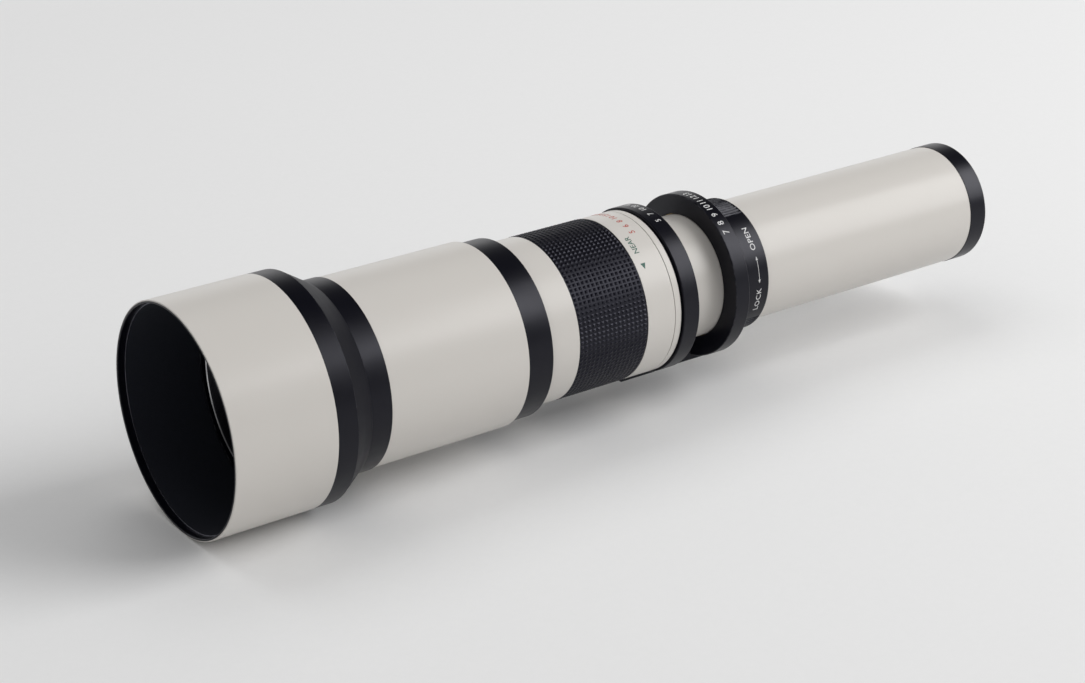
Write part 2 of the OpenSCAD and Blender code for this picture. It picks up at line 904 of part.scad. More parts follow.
module mount_ring() {
    color(dark)
        difference() {
            turned([
                [thread_bore_r, -flange_t],
                [flange_r, -flange_t],
                [flange_r, 0],
                [thread_r, 0],
                [thread_r, thread_len - thread_lead],
                [thread_r - thread_lead, thread_len],
                [thread_bore_r, thread_len]
            ]);
            mount_screw_places()
                rotate([0, -90, 0])
                    sunk_screw(mount_screw_r + slide_fit, mount_screw_head + slide_fit, mount_screw_sink,
                               flange_t + cut);
        }
}

module mount_screws() {
    color(steel)
        mount_screw_places()
            rotate([0, -90, 0])
                sunk_screw(mount_screw_r, mount_screw_head, mount_screw_sink, mount_screw_len);
}

hood_tube();
hood_base();
hood_lining();
front_barrel();
objective_cell();
objective_crown();
objective_flint();
objective_retainer();
main_barrel();
mid_band();
focus_guide_tube();
rear_fixed_ring();
index_ring();
guide_felt();
collar_ring();
lock_collet();
tripod_foot();
tripod_bush();
foot_screws();
focus_ring();
focus_grip();
focus_carrier();
focus_lens_front();
focus_lens_rear();
focus_retainer();
drive_pins();
lock_ring();
zoom_tube();
tube_stop_ring();
zoom_cell();
zoom_lens_front();
zoom_lens_rear();
zoom_retainer();
tube_baffles();
rear_cell();
relay_lens();
rear_lens();
rear_retainers();
tail_ring();
mount_ring();
mount_screws();
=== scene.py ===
import json
import math

import bmesh
import bpy
from mathutils import Matrix, Quaternion, Vector

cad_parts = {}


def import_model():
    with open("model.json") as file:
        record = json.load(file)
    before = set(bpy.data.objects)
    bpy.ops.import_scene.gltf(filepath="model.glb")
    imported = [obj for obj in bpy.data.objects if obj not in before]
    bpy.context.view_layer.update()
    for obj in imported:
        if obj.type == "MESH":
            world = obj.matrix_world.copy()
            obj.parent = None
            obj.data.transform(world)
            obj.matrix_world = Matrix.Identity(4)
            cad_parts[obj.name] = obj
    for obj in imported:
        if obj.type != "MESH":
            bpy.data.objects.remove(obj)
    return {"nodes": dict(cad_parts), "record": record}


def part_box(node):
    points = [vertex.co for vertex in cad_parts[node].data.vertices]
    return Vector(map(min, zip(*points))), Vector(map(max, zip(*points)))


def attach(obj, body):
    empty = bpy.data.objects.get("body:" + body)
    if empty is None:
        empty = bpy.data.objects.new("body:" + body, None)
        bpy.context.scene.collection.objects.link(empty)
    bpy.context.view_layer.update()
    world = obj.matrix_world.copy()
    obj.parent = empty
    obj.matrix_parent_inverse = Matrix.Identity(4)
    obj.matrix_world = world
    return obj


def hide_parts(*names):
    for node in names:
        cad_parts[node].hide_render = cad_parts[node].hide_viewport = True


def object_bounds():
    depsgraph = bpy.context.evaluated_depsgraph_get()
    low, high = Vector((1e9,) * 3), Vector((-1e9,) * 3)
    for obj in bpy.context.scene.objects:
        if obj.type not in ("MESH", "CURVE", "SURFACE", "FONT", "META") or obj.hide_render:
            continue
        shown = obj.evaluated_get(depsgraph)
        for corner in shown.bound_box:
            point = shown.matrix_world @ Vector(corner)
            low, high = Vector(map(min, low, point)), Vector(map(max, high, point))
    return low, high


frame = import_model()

cad_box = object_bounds()

MM = 0.001

# Steps of an arc at a rounded corner, of a turned surface round the axis, and of a lens
ARC_STEPS = 4
ROUND_STEPS = 288
LENS_ROUND_STEPS = 144
LENS_FACE_STEPS = 40

# Roundings of the edges, from the sharpest to the softest
HAIRLINE = 0.05 * MM
THREAD_EDGE = 0.06 * MM
FINE_EDGE = 0.1 * MM
BAND_EDGE = 0.12 * MM
CRISP_EDGE = 0.15 * MM
PLAIN_EDGE = 0.2 * MM
BARREL_EDGE = 0.25 * MM
EASED_EDGE = 0.3 * MM
CONE_EDGE = 0.35 * MM
SOFT_EDGE = 0.4 * MM
MOUTH_EDGE = 0.45 * MM
ROUND_EDGE = 0.5 * MM
TAIL_EDGE = 0.9 * MM

# Clearances: of a seat or push fit, of a fit that turns or slides, and round the zoom tube
SLIDE_FIT = 0.05 * MM
RUN_FIT = 0.1 * MM
PASS_GAP = 0.35 * MM

# Lengths below which a side counts as a point, and a radius as the axis itself
NO_LENGTH = 1e-9
NO_RADIUS = 1e-7


def even_turns(count):
    """Equal steps round the axis, with nothing cut away."""
    return [(2 * math.pi * k / count, 0.0) for k in range(count)]


EVEN_TURNS = even_turns(ROUND_STEPS)

# Camera, fitted to the edges of the rings in the photograph
CAMERA_PLACE = (-0.9758, -0.9667, 0.5205)
CAMERA_FORWARD = (0.5317, 0.7411, -0.4101)
CAMERA_RIGHT = (0.8124, -0.5831, 0.0)
FRAME_WIDTH = 1085
FOCAL_PIXELS = 2539
SENSOR_MM = 36.0
CLIP_START = 0.01

# Direction of the side that faces the camera, turned from the top of the lens towards -Y
FACING_TURN = 61.7


def span(name):
    """Front and rear stations of a CAD node along the optical axis, in metres."""
    low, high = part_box(name)
    return low.x, high.x


def radius(name):
    """Outside radius of a turned CAD node, in metres."""
    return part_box(name)[1].y


# Stations and radii of the frame
hood_front, hood_seam = span("hood_tube")
hood_r = radius("hood_tube")
hood_rear = span("hood_base")[1]
band_r = radius("hood_base")
lining_front, lining_rear = span("hood_lining")
lining_r = radius("hood_lining")
nose_front, nose_rear = span("front_barrel")
nose_r = radius("front_barrel")
cell_rear = span("objective_cell")[1]
cell_r = radius("objective_cell")
barrel_rear = span("main_barrel")[1]
barrel_r = radius("main_barrel")
mid_rear = span("mid_band")[1]
guide_r = radius("focus_guide_tube")
focus_front, focus_rear = span("focus_ring")
focus_r = radius("focus_ring")
grip_front, grip_rear = span("focus_grip")
grip_r = radius("focus_grip")
fixed_front, fixed_rear = span("rear_fixed_ring")
index_front, index_rear = span("index_ring")
index_r = radius("index_ring")
collar_front, collar_rear = span("collar_ring")
collar_r = radius("collar_ring")
collet_r = radius("lock_collet")
lock_front, lock_rear = span("lock_ring")
lock_r = radius("lock_ring")
tube_front, tube_rear = span("zoom_tube")
tube_r = radius("zoom_tube")
tail_rear = span("tail_ring")[1]
tail_r = radius("tail_ring")
flange_front, thread_rear = span("mount_ring")
flange_r = radius("mount_ring")


# Height of the studs on the rubber grip, and the share of it at the top that is rubbed smooth and painted
# lighter as a highlight
STUD_HEIGHT = 0.42 * MM
STUD_TIP_SHARE = 0.2


# Node helpers

def make(tree, kind, inputs=None, **settings):
    """Adds a shader node; inputs maps a socket to a value or to another node's output."""
    item = tree.nodes.new(kind)
    for key, value in settings.items():
        setattr(item, key, value)
    for key, value in (inputs or {}).items():
        if isinstance(value, bpy.types.NodeSocket):
            tree.links.new(value, item.inputs[key])
        else:
            item.inputs[key].default_value = value
    return item


def noise(tree, vector, scale, detail=2.0, rough=0.5):
    """Smooth noise from 0 to 1 at so many cells per metre."""
    return make(tree, "ShaderNodeTexNoise",
                {"Vector": vector, "Scale": scale, "Detail": detail, "Roughness": rough}).outputs["Fac"]


def remap(tree, value, source, target):
    """Maps a value from one range, as (low, high), onto another, clamped."""
    return make(tree, "ShaderNodeMapRange",
                {"Value": value, "From Min": source[0], "From Max": source[1],
                 "To Min": target[0], "To Max": target[1]}).outputs["Result"]


def maths(tree, operation, first, second):
    """One step of arithmetic."""
    return make(tree, "ShaderNodeMath", {0: first, 1: second}, operation=operation).outputs[0]


def blend_colours(tree, factor, first, second):
    """Mixes two colours, each a socket or three linear numbers.

    The colour sockets of a Mix node are its inputs 6 and 7, and its output 2.
    """
    colours = [c if isinstance(c, bpy.types.NodeSocket) else (*c, 1.0) for c in (first, second)]
    return make(tree, "ShaderNodeMix", {0: factor, 6: colours[0], 7: colours[1]},
                data_type="RGBA").outputs[2]


def blend_values(tree, factor, first, second):
    """Mixes two numbers; a Mix node takes them at its inputs 2 and 3, and gives them at its output 0."""
    return make(tree, "ShaderNodeMix", {0: factor, 2: first, 3: second}).outputs[0]


def start_material(name):
    """A new material with its surface shader and the coordinates that its textures use."""
    material = bpy.data.materials.new(name)
    material.use_nodes = True
    tree = material.node_tree
    shader = tree.nodes["Principled BSDF"]
    place = make(tree, "ShaderNodeTexCoord").outputs["Object"]
    return material, tree, shader, place


def edge_wear(tree, place, patch_scale, strength):
    """How worn an edge is: what finish_mesh stored for it, broken up by noise, times a strength."""
    edges = make(tree, "ShaderNodeAttribute", attribute_name="wear").outputs["Fac"]
    patches = remap(tree, noise(tree, place, patch_scale, detail=4.0, rough=0.6), (0.42, 0.62), (0.0, 1.0))
    return maths(tree, "MULTIPLY", maths(tree, "MULTIPLY", edges, patches), strength)


def axis_distance(tree, parts):
    """How far a point lies from the optical axis, from its separated coordinates."""
    square = maths(tree, "ADD", maths(tree, "MULTIPLY", parts.outputs["Y"], parts.outputs["Y"]),
                   maths(tree, "MULTIPLY", parts.outputs["Z"], parts.outputs["Z"]))
    return maths(tree, "SQRT", square, 0.0)


def lathe_lines(tree, place, per_metre):
    """Fine lines left round a turned surface, from its distance along and out from the axis."""
    parts = make(tree, "ShaderNodeSeparateXYZ", {0: place})
    along = maths(tree, "ADD", parts.outputs["X"], axis_distance(tree, parts))
    return make(tree, "ShaderNodeTexNoise", {"W": along, "Scale": per_metre, "Detail": 3.0},
                noise_dimensions="1D").outputs["Fac"]


def set_bump(tree, shader, height, strength, distance):
    """Feeds a height into the shader's normal."""
    bump = make(tree, "ShaderNodeBump", {"Height": height, "Strength": strength, "Distance": distance})
    tree.links.new(bump.outputs["Normal"], shader.inputs["Normal"])


# Materials

def pale_enamel():
    """Warm white enamel, sprayed on aluminium: slight orange peel, paint thinned on the edges."""
    material, tree, shader, place = start_material("pale_enamel")
    cream = (0.600, 0.575, 0.540)
    light_cream = (0.614, 0.588, 0.556)
    dirt = (0.45, 0.42, 0.38)
    bare_metal = (0.40, 0.39, 0.37)
    tone = blend_colours(tree, noise(tree, place, scale=14.0), cream, light_cream)
    specks = remap(tree, noise(tree, place, scale=1300.0), (0.70, 0.80), (0.0, 0.25))
    dusty = blend_colours(tree, specks, tone, dirt)
    wear = edge_wear(tree, place, patch_scale=160.0, strength=0.3)
    colour = blend_colours(tree, wear, dusty, bare_metal)
    tree.links.new(colour, shader.inputs["Base Color"])
    handling = noise(tree, place, scale=35.0, detail=3.0)
    tree.links.new(remap(tree, handling, (0.0, 1.0), (0.27, 0.30)), shader.inputs["Roughness"])
    shader.inputs["Specular IOR Level"].default_value = 0.26
    peel = noise(tree, place, scale=480.0, detail=1.5)
    set_bump(tree, shader, peel, strength=0.05, distance=0.1 * MM)
    return material


def black_anodised(name, gloss_low, gloss_high, level):
    """Black anodised aluminium with fine turning lines and slightly rubbed edges."""
    material, tree, shader, place = start_material(name)
    deep_black = (0.0018, 0.0018, 0.0046)
    soft_black = (0.0032, 0.0032, 0.0068)
    rubbed = (0.10, 0.10, 0.11)
    tone = blend_colours(tree, noise(tree, place, scale=25.0, detail=3.0), deep_black, soft_black)
    wear = edge_wear(tree, place, patch_scale=300.0, strength=0.5)
    colour = blend_colours(tree, wear, tone, rubbed)
    tree.links.new(colour, shader.inputs["Base Color"])
    lines = lathe_lines(tree, place, per_metre=2600.0)
    smears = noise(tree, place, scale=45.0, detail=5.0, rough=0.65)
    gloss = maths(tree, "ADD", remap(tree, smears, (0.3, 0.7), (gloss_low, gloss_high)),
                  remap(tree, lines, (0.35, 0.65), (-0.02, 0.02)))
    tree.links.new(gloss, shader.inputs["Roughness"])
    shader.inputs["Specular IOR Level"].default_value = level
    shader.inputs["Specular Tint"].default_value = (0.90, 0.90, 1.0, 1.0)
    set_bump(tree, shader, lines, strength=0.10, distance=0.02 * MM)
    return material


def grip_rubber():
    """Black moulded rubber: matt between the studs, rubbed smoother on their tips; the tips are coloured
    lighter as a painted highlight, and the ground between them darker as painted shade.
    """
    material, tree, shader, place = start_material("grip_rubber")
    parts = make(tree, "ShaderNodeSeparateXYZ", {0: place})
    out = axis_distance(tree, parts)
    rise = remap(tree, out, (grip_r - STUD_HEIGHT, grip_r - STUD_TIP_SHARE * STUD_HEIGHT), (0.0, 1.0))
    deep_black = (0.0012, 0.0012, 0.0036)
    soft_black = (0.0026, 0.0026, 0.0062)
    # Lighter colour on the stud tips is a painted highlight; the darker ground between the studs is painted
    # shade
    tip_highlight_black = (0.0040, 0.0040, 0.0088)
    ground = blend_colours(tree, noise(tree, place, scale=90.0, detail=4.0), deep_black, soft_black)
    tree.links.new(blend_colours(tree, rise, ground, tip_highlight_black), shader.inputs["Base Color"])
    grain = remap(tree, noise(tree, place, scale=700.0, detail=3.0), (0.3, 0.7), (-0.05, 0.05))
    gloss = maths(tree, "ADD", remap(tree, rise, (0.0, 0.6), (0.42, 0.28)), grain)
    tree.links.new(gloss, shader.inputs["Roughness"])
    shader.inputs["Specular IOR Level"].default_value = 0.27
    shader.inputs["Specular Tint"].default_value = (0.82, 0.82, 1.0, 1.0)
    set_bump(tree, shader, noise(tree, place, scale=5200.0), strength=0.2, distance=0.03 * MM)
    return material


def flock():
    """Deep black flock that lines the hood and fills the felt bush."""
    material, tree, shader, place = start_material("flock")
    shaded_fibre = (0.0120, 0.0135, 0.0200)
    lit_fibre = (0.0240, 0.0265, 0.0370)
    tone = blend_colours(tree, noise(tree, place, scale=1800.0, detail=3.0), shaded_fibre, lit_fibre)
    tree.links.new(tone, shader.inputs["Base Color"])
    shader.inputs["Roughness"].default_value = 0.85
    shader.inputs["Specular IOR Level"].default_value = 0.2
    shader.inputs["Sheen Weight"].default_value = 0.02
    fibres = noise(tree, place, scale=4200.0, detail=4.0, rough=0.7)
    set_bump(tree, shader, fibres, strength=0.6, distance=0.1 * MM)
    return material


def optical_glass():
    """Coated lens glass, with a little dust on it."""
    material, tree, shader, place = start_material("optical_glass")
    shader.inputs["Base Color"].default_value = (0.93, 0.96, 0.98, 1.0)
    dust = remap(tree, noise(tree, place, scale=1500.0), (0.70, 0.80), (0.004, 0.12))
    tree.links.new(dust, shader.inputs["Roughness"])
    shader.inputs["IOR"].default_value = 1.52
    shader.inputs["Transmission Weight"].default_value = 1.0
    shader.inputs["Specular IOR Level"].default_value = 0.3
    shader.inputs["Specular Tint"].default_value = (0.55, 0.75, 1.0, 1.0)
    return material


def turned_metal(name, dark, light, gloss_low, gloss_high):
    """Bare metal with turning lines and light stains."""
    material, tree, shader, place = start_material(name)
    lines = lathe_lines(tree, place, per_metre=3200.0)
    stains = remap(tree, noise(tree, place, scale=120.0, detail=4.0, rough=0.6), (0.35, 0.65), (0.0, 1.0))
    tree.links.new(blend_colours(tree, stains, dark, light), shader.inputs["Base Color"])
    shader.inputs["Metallic"].default_value = 1.0
    tree.links.new(remap(tree, lines, (0.3, 0.7), (gloss_low, gloss_high)), shader.inputs["Roughness"])
    set_bump(tree, shader, lines, strength=0.15, distance=0.02 * MM)
    return material


def ink(name, thin, thick):
    """Paint pressed into engraved letters, a little uneven."""
    material, tree, shader, place = start_material(name)
    body = remap(tree, noise(tree, place, scale=1600.0, detail=3.0), (0.3, 0.6), (0.0, 1.0))
    tree.links.new(blend_colours(tree, body, thin, thick), shader.inputs["Base Color"])
    shader.inputs["Roughness"].default_value = 0.55
    set_bump(tree, shader, noise(tree, place, scale=6000.0), strength=0.2, distance=0.02 * MM)
    return material


MATERIALS = {
    "pale_enamel": pale_enamel(),
    "black_anodised": black_anodised("black_anodised", 0.30, 0.38, 0.27),
    "grip_rubber": grip_rubber(),
    "flock": flock(),
    "optical_glass": optical_glass(),
    "brass": turned_metal("brass", (0.50, 0.34, 0.12), (0.60, 0.43, 0.17), 0.22, 0.38),
    "steel": turned_metal("steel", (0.42, 0.42, 0.43), (0.58, 0.58, 0.59), 0.20, 0.34),
}
MATT_BLACK = black_anodised("matt_black", 0.40, 0.48, 0.14)
# Lighter metal for the front edge of the hood's lining: a painted highlight line
EDGE_HIGHLIGHT_METAL = turned_metal("edge_highlight_metal", (0.20, 0.20, 0.24), (0.30, 0.30, 0.35), 0.30, 0.40)
INKS = {
    "white": ink("white_ink", (0.50, 0.50, 0.50), (0.72, 0.72, 0.72)),
    "red": ink("red_ink", (0.50, 0.12, 0.08), (0.42, 0.045, 0.03)),
    "green": ink("green_ink", (0.06, 0.17, 0.13), (0.015, 0.085, 0.06)),
}

for part in frame["record"]["subparts"]:
    data = frame["nodes"][part["node"]].data
    data.materials.clear()
    data.materials.append(MATERIALS[part["material_slot"]])


# Mesh helpers

def add_piece(name, mesh, body, slot, nodes=(), material=None):
    """Puts a mesh in the scene, on its body, with its finish, in place of the CAD nodes it stands for."""
    piece = bpy.data.objects.new(name, mesh)
    bpy.context.scene.collection.objects.link(piece)
    mesh.materials.append(material or MATERIALS[slot])
    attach(piece, body)
    if nodes:
        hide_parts(*nodes)


# Most of a side that a rounded corner may take up, and how far beyond its arc a guard point stands
CORNER_SHARE = 0.4
GUARD_SHARE = 0.2


def round_corners(outline):
    """Turns [(x, r, fillet)] in metres into points with arcs at the corners.

    A guard point stands on each side of an arc, so that the flats beside it stay flat when shaded.
    """
    points = []
    count = len(outline)
    for i, (x, r, fillet) in enumerate(outline):
        corner = Vector((x, r))
        before = Vector(outline[i - 1][:2]) - corner
        after = Vector(outline[(i + 1) % count][:2]) - corner
        if fillet <= 0 or before.length < NO_LENGTH or after.length < NO_LENGTH:
            points.append((x, r))
            continue
        half = before.angle(after) / 2
        reach = min(fillet / math.tan(half), CORNER_SHARE * before.length, CORNER_SHARE * after.length)
        fillet = reach * math.tan(half)
        start = corner + before.normalized() * reach
        end = corner + after.normalized() * reach
        middle = corner + (before.normalized() + after.normalized()).normalized() * fillet / math.sin(half)
        turn = (start - middle).angle_signed(end - middle)
        points.append(tuple(start + before.normalized() * GUARD_SHARE * reach))
        for k in range(ARC_STEPS + 1):
            swung = Matrix.Rotation(-turn * k / ARC_STEPS, 2) @ (start - middle)
            points.append(tuple(middle + swung))
        points.append(tuple(end + after.normalized() * GUARD_SHARE * reach))
    return points


def spin(points, closed=True, turns=EVEN_TURNS):
    """A mesh turned about the optical axis from points (x, r) or (x, r, depth of the cuts there).

    The turns are pairs: an angle, and how much of that depth is cut away at it.
    """
    mesh = bmesh.new()
    rings = []
    for x, r, *depth in points:
        if r < NO_RADIUS:
            rings.append([mesh.verts.new((x, 0.0, 0.0))])
            continue
        reach = [r - share * sum(depth) for _, share in turns]
        rings.append([mesh.verts.new((x, -q * math.sin(a), q * math.cos(a)))
                      for (a, _), q in zip(turns, reach)])
    pairs = list(zip(rings, rings[1:]))
    if closed:
        pairs.append((rings[-1], rings[0]))
    for first, second in pairs:
        for k in range(len(turns)):
            after = (k + 1) % len(turns)
            corners = [first[k % len(first)], first[after % len(first)],
                       second[after % len(second)], second[k % len(second)]]
            mesh.faces.new(list(dict.fromkeys(corners)))
    bmesh.ops.recalc_face_normals(mesh, faces=mesh.faces)
    return mesh


# Bends at which an outer edge begins to wear and is fully worn, and at which it is shaded as a crease
WEAR_FROM = math.radians(8)
WEAR_TO = math.radians(30)
CREASE_DEGREES = 35.0
RIB_CREASE_DEGREES = 30.0
STUD_CREASE_DEGREES = 18.0


def finish_mesh(name, mesh, crease=CREASE_DEGREES):
    """Bakes a bmesh into mesh data with smooth faces, sharp creases and worn outer corners."""
    worn = mesh.verts.layers.float.new("wear")
    for vert in mesh.verts:
        bend = max((edge.calc_face_angle_signed(0.0) for edge in vert.link_edges), default=0.0)
        vert[worn] = min(max((bend - WEAR_FROM) / (WEAR_TO - WEAR_FROM), 0.0), 1.0)
    data = bpy.data.meshes.new(name)
    mesh.to_mesh(data)
    mesh.free()
    data.shade_smooth()
    data.set_sharp_from_angle(angle=math.radians(crease))
    return data


def turned(name, body, slot, outline, nodes=(), material=None):
    """A ring or sleeve with rounded edges, turned from an outline [(x, r, fillet)] in metres."""
    add_piece(name, finish_mesh(name, spin(round_corners(outline))), body, slot, nodes, material)


# Thickness kept for the black paint inside a pale tube, and the gap left between paint and tube
PAINT = 0.1 * MM
PAINT_GAP = 0.02 * MM


def black_inside(name, body, front, rear, bore):
    """Black paint on the bore of a pale tube, whose own piece is left wider there by PAINT."""
    turned(name, body, "black_anodised", [
        (front, bore, 0),
        (front, bore + PAINT - PAINT_GAP, 0),
        (rear, bore + PAINT - PAINT_GAP, 0),
        (rear, bore, 0),
    ], material=MATT_BLACK)


# Pitch of the filter thread and of the camera thread
THREAD_PITCH = 0.75 * MM


def thread(start, length, r, rise):
    """Outline points of a screw thread's grooves, drawn as rings."""
    turns = int(length / THREAD_PITCH)
    points = []
    for i in range(turns):
        x = start + i * THREAD_PITCH
        points += [(x, r, 0), (x + THREAD_PITCH / 2, r + rise, THREAD_EDGE)]
    return points + [(start + turns * THREAD_PITCH, r, 0)]


def around(turn, r):
    """Point at radius r, turned from the top towards -Y by so many degrees; x is 0."""
    a = math.radians(turn)
    return Vector((0.0, -r * math.sin(a), r * math.cos(a)))


# Hood

HOOD_WALL = 1.6 * MM
HOOD_SKIN = 0.8 * MM
LIP_PROUD = 0.08 * MM
LIP_INSET = 0.42 * MM
LIP_RETURN = 0.3 * MM
LIP_GAP = 0.02 * MM
CONE_DROP = 0.06 * MM
HOOD_BAND = 10.9 * MM
HOOD_SPIGOT = 10 * MM
HOOD_SPIGOT_WALL = 1.5 * MM
HOOD_GRIP = 8 * MM
HOOD_WALL_RUN = 4 * MM
CONE_END_WALL = 1.2 * MM
LINING = 0.45 * MM
LINING_EDGE = 0.25 * MM
LINING_EDGE_PROUD = 0.05 * MM


def hood():
    """Pale tube with a black lip and inside, black band and cone, flocked lining whose front edge is a
    lighter metal ring, a painted highlight.
    """
    skin = hood_r - HOOD_SKIN
    inner = hood_r - HOOD_WALL
    turned("hood_shell", "hood", "pale_enamel", [
        (hood_front + LIP_PROUD, skin, 0),
        (hood_front + LIP_PROUD, hood_r, MOUTH_EDGE),
        (hood_seam, hood_r, HAIRLINE),
        (hood_seam, skin, 0),
    ], ["hood_tube"])
    turned("hood_lip", "hood", "black_anodised", [
        (hood_front, inner, SOFT_EDGE),
        (hood_front, hood_r - LIP_INSET, BAND_EDGE),
        (hood_front + LIP_RETURN, skin - LIP_GAP, 0),
        (hood_seam - HOOD_SPIGOT, skin - LIP_GAP, 0),
        (hood_seam - HOOD_SPIGOT, inner, 0),
    ])
    spigot = lining_r
    inside = spigot - HOOD_SPIGOT_WALL
    cone_front = hood_seam + HOOD_BAND
    turned("hood_band", "hood", "black_anodised", [
        (hood_seam, spigot, 0),
        (hood_seam, band_r, BAND_EDGE),
        (cone_front, band_r, BAND_EDGE),
        (cone_front, spigot, 0),
    ], ["hood_base"])
    neck = nose_r + RUN_FIT
    turned("hood_cone", "hood", "black_anodised", [
        (hood_seam - HOOD_SPIGOT, inside, EASED_EDGE),
        (hood_seam - HOOD_SPIGOT, spigot, 0),
        (cone_front, spigot, 0),
        (cone_front, band_r - CONE_DROP, FINE_EDGE),
        (hood_rear, neck + CONE_END_WALL, CONE_EDGE),
        (hood_rear, neck, PLAIN_EDGE),
        (hood_rear - HOOD_GRIP, neck, PLAIN_EDGE),
        (hood_rear - HOOD_GRIP - HOOD_WALL_RUN, inside, ROUND_EDGE),
    ], material=MATT_BLACK)
    flocked = lining_r - LINING
    turned("hood_flocking", "hood", "flock", [
        (lining_front, flocked, CRISP_EDGE),
        (lining_front, lining_r, HAIRLINE),
        (lining_rear, lining_r, 0),
        (lining_rear, flocked, CRISP_EDGE),
    ], ["hood_lining"])
    # The lining's real front edge, made in lighter metal as a painted highlight line
    turned("lining_edge", "hood", "black_anodised", [
        (lining_front - LINING_EDGE, flocked - LINING_EDGE_PROUD, FINE_EDGE),
        (lining_front - LINING_EDGE, lining_r, HAIRLINE),
        (lining_front, lining_r, 0),
        (lining_front, flocked - LINING_EDGE_PROUD, HAIRLINE),
    ], material=EDGE_HIGHLIGHT_METAL)


# Nose with its filter thread

FILTER_WALL = 1.2 * MM
FILTER_DEPTH = 6 * MM
FILTER_THREAD_RISE = 0.38 * MM
BARREL_SPIGOT = 9.7 * MM
BARREL_WALL = 2.5 * MM
SPIGOT_DROP = 1.3 * MM
SPIGOT_GAP = 0.3 * MM
NOSE_STEP = 2.7 * MM

# Plain stretches before and behind the grooves of the filter thread
FILTER_LEAD_IN = 0.9 * MM
FILTER_RUN_OUT = 0.5 * MM

# Width of the bright chamfer on the nose, how deep its seat lies under it, and how far it is let in
BRIGHT_EDGE = 0.4 * MM
BRIGHT_SEAT = 0.05 * MM
BRIGHT_SUNK = 0.02 * MM


def nose():
    """Black nose with its filter thread and bright front edge."""
    filter_r = nose_r - FILTER_WALL
    seat = cell_r + SLIDE_FIT
    socket = barrel_r - SPIGOT_DROP + SLIDE_FIT
    socket_front = nose_rear - BARREL_SPIGOT - SPIGOT_GAP
    ridges = thread(nose_front + FILTER_LEAD_IN, FILTER_DEPTH - FILTER_LEAD_IN - FILTER_RUN_OUT,
                    filter_r, -FILTER_THREAD_RISE)
    turned("nose", "barrel", "black_anodised", [
        (nose_front, filter_r + BRIGHT_EDGE + BRIGHT_SEAT, 0),
        (nose_front, nose_r, SOFT_EDGE),
        (nose_rear, nose_r, PLAIN_EDGE),
        (nose_rear, socket, 0),
        (socket_front, socket, 0),
        (socket_front, cell_r - NOSE_STEP, 0),
        (cell_rear, cell_r - NOSE_STEP, 0),
        (cell_rear, seat, 0),
        (nose_front + FILTER_DEPTH, seat, 0),
        (nose_front + FILTER_DEPTH, filter_r, 0),
    ] + ridges[::-1] + [(nose_front + BRIGHT_EDGE + 2 * BRIGHT_SEAT, filter_r, 0)], ["front_barrel"])
    outer = filter_r + BRIGHT_EDGE + BRIGHT_SEAT + BRIGHT_SUNK
    back = nose_front + BRIGHT_EDGE + 3 * BRIGHT_SEAT
    turned("nose_bright_edge", "barrel", "steel", [
        (nose_front, filter_r + BRIGHT_EDGE, 0),
        (nose_front + BRIGHT_EDGE, filter_r - BRIGHT_SUNK, 0),
        (back, filter_r + BRIGHT_SUNK, 0),
        (back, outer, 0),
        (nose_front + BRIGHT_SUNK, outer, 0),
    ])


# Lenses

# Each lens: its piece, its node and body, and how far its front and rear faces bulge in millimetres
LENSES = (
    ("crown_glass", "objective_crown", "barrel", 4.5, 5.5),
    ("flint_glass", "objective_flint", "barrel", -5.5, 0.8),
    ("focus_glass_front", "focus_lens_front", "carrier", 3.0, 3.2),
    ("focus_glass_rear", "focus_lens_rear", "carrier", -3.2, -1.5),
    ("zoom_glass_front", "zoom_lens_front", "zoom", -2.5, 2.5),
    ("zoom_glass_rear", "zoom_lens_rear", "zoom", -2.5, -2.5),
    ("relay_glass", "relay_lens", "zoom", -2.0, -2.0),
    ("rear_glass", "rear_lens", "zoom", -2.0, 2.0),
)


def lens(name, node, body, front_sag, rear_sag):
    """A lens with true spherical faces in place of the stepped one; a hollow face has a negative sag."""
    low, high = span(node)
    rim = radius(node)
    x0 = low + max(front_sag, 0.0)
    x1 = high - max(rear_sag, 0.0)

    def face(sag, q):
        ball = (rim * rim + sag * sag) / (2 * abs(sag))
        return math.copysign(math.sqrt(ball * ball - q * q) - ball + abs(sag), sag)

    reach = [rim * i / LENS_FACE_STEPS for i in range(LENS_FACE_STEPS + 1)]
    points = [(x0 - face(front_sag, q), q) for q in reach]
    points += [(x1 + face(rear_sag, q), q) for q in reversed(reach)]
    mesh = spin(points, closed=False, turns=even_turns(LENS_ROUND_STEPS))
    add_piece(name, finish_mesh(name, mesh), body, "optical_glass", [node])


def lenses():
    """All eight lenses."""
    for name, node, body, front_sag, rear_sag in LENSES:
        lens(name, node, body, front_sag * MM, rear_sag * MM)


# Main barrel and the band behind it

MID_SPIGOT = 9.7 * MM
MID_SPIGOT_WALL = 2.25 * MM


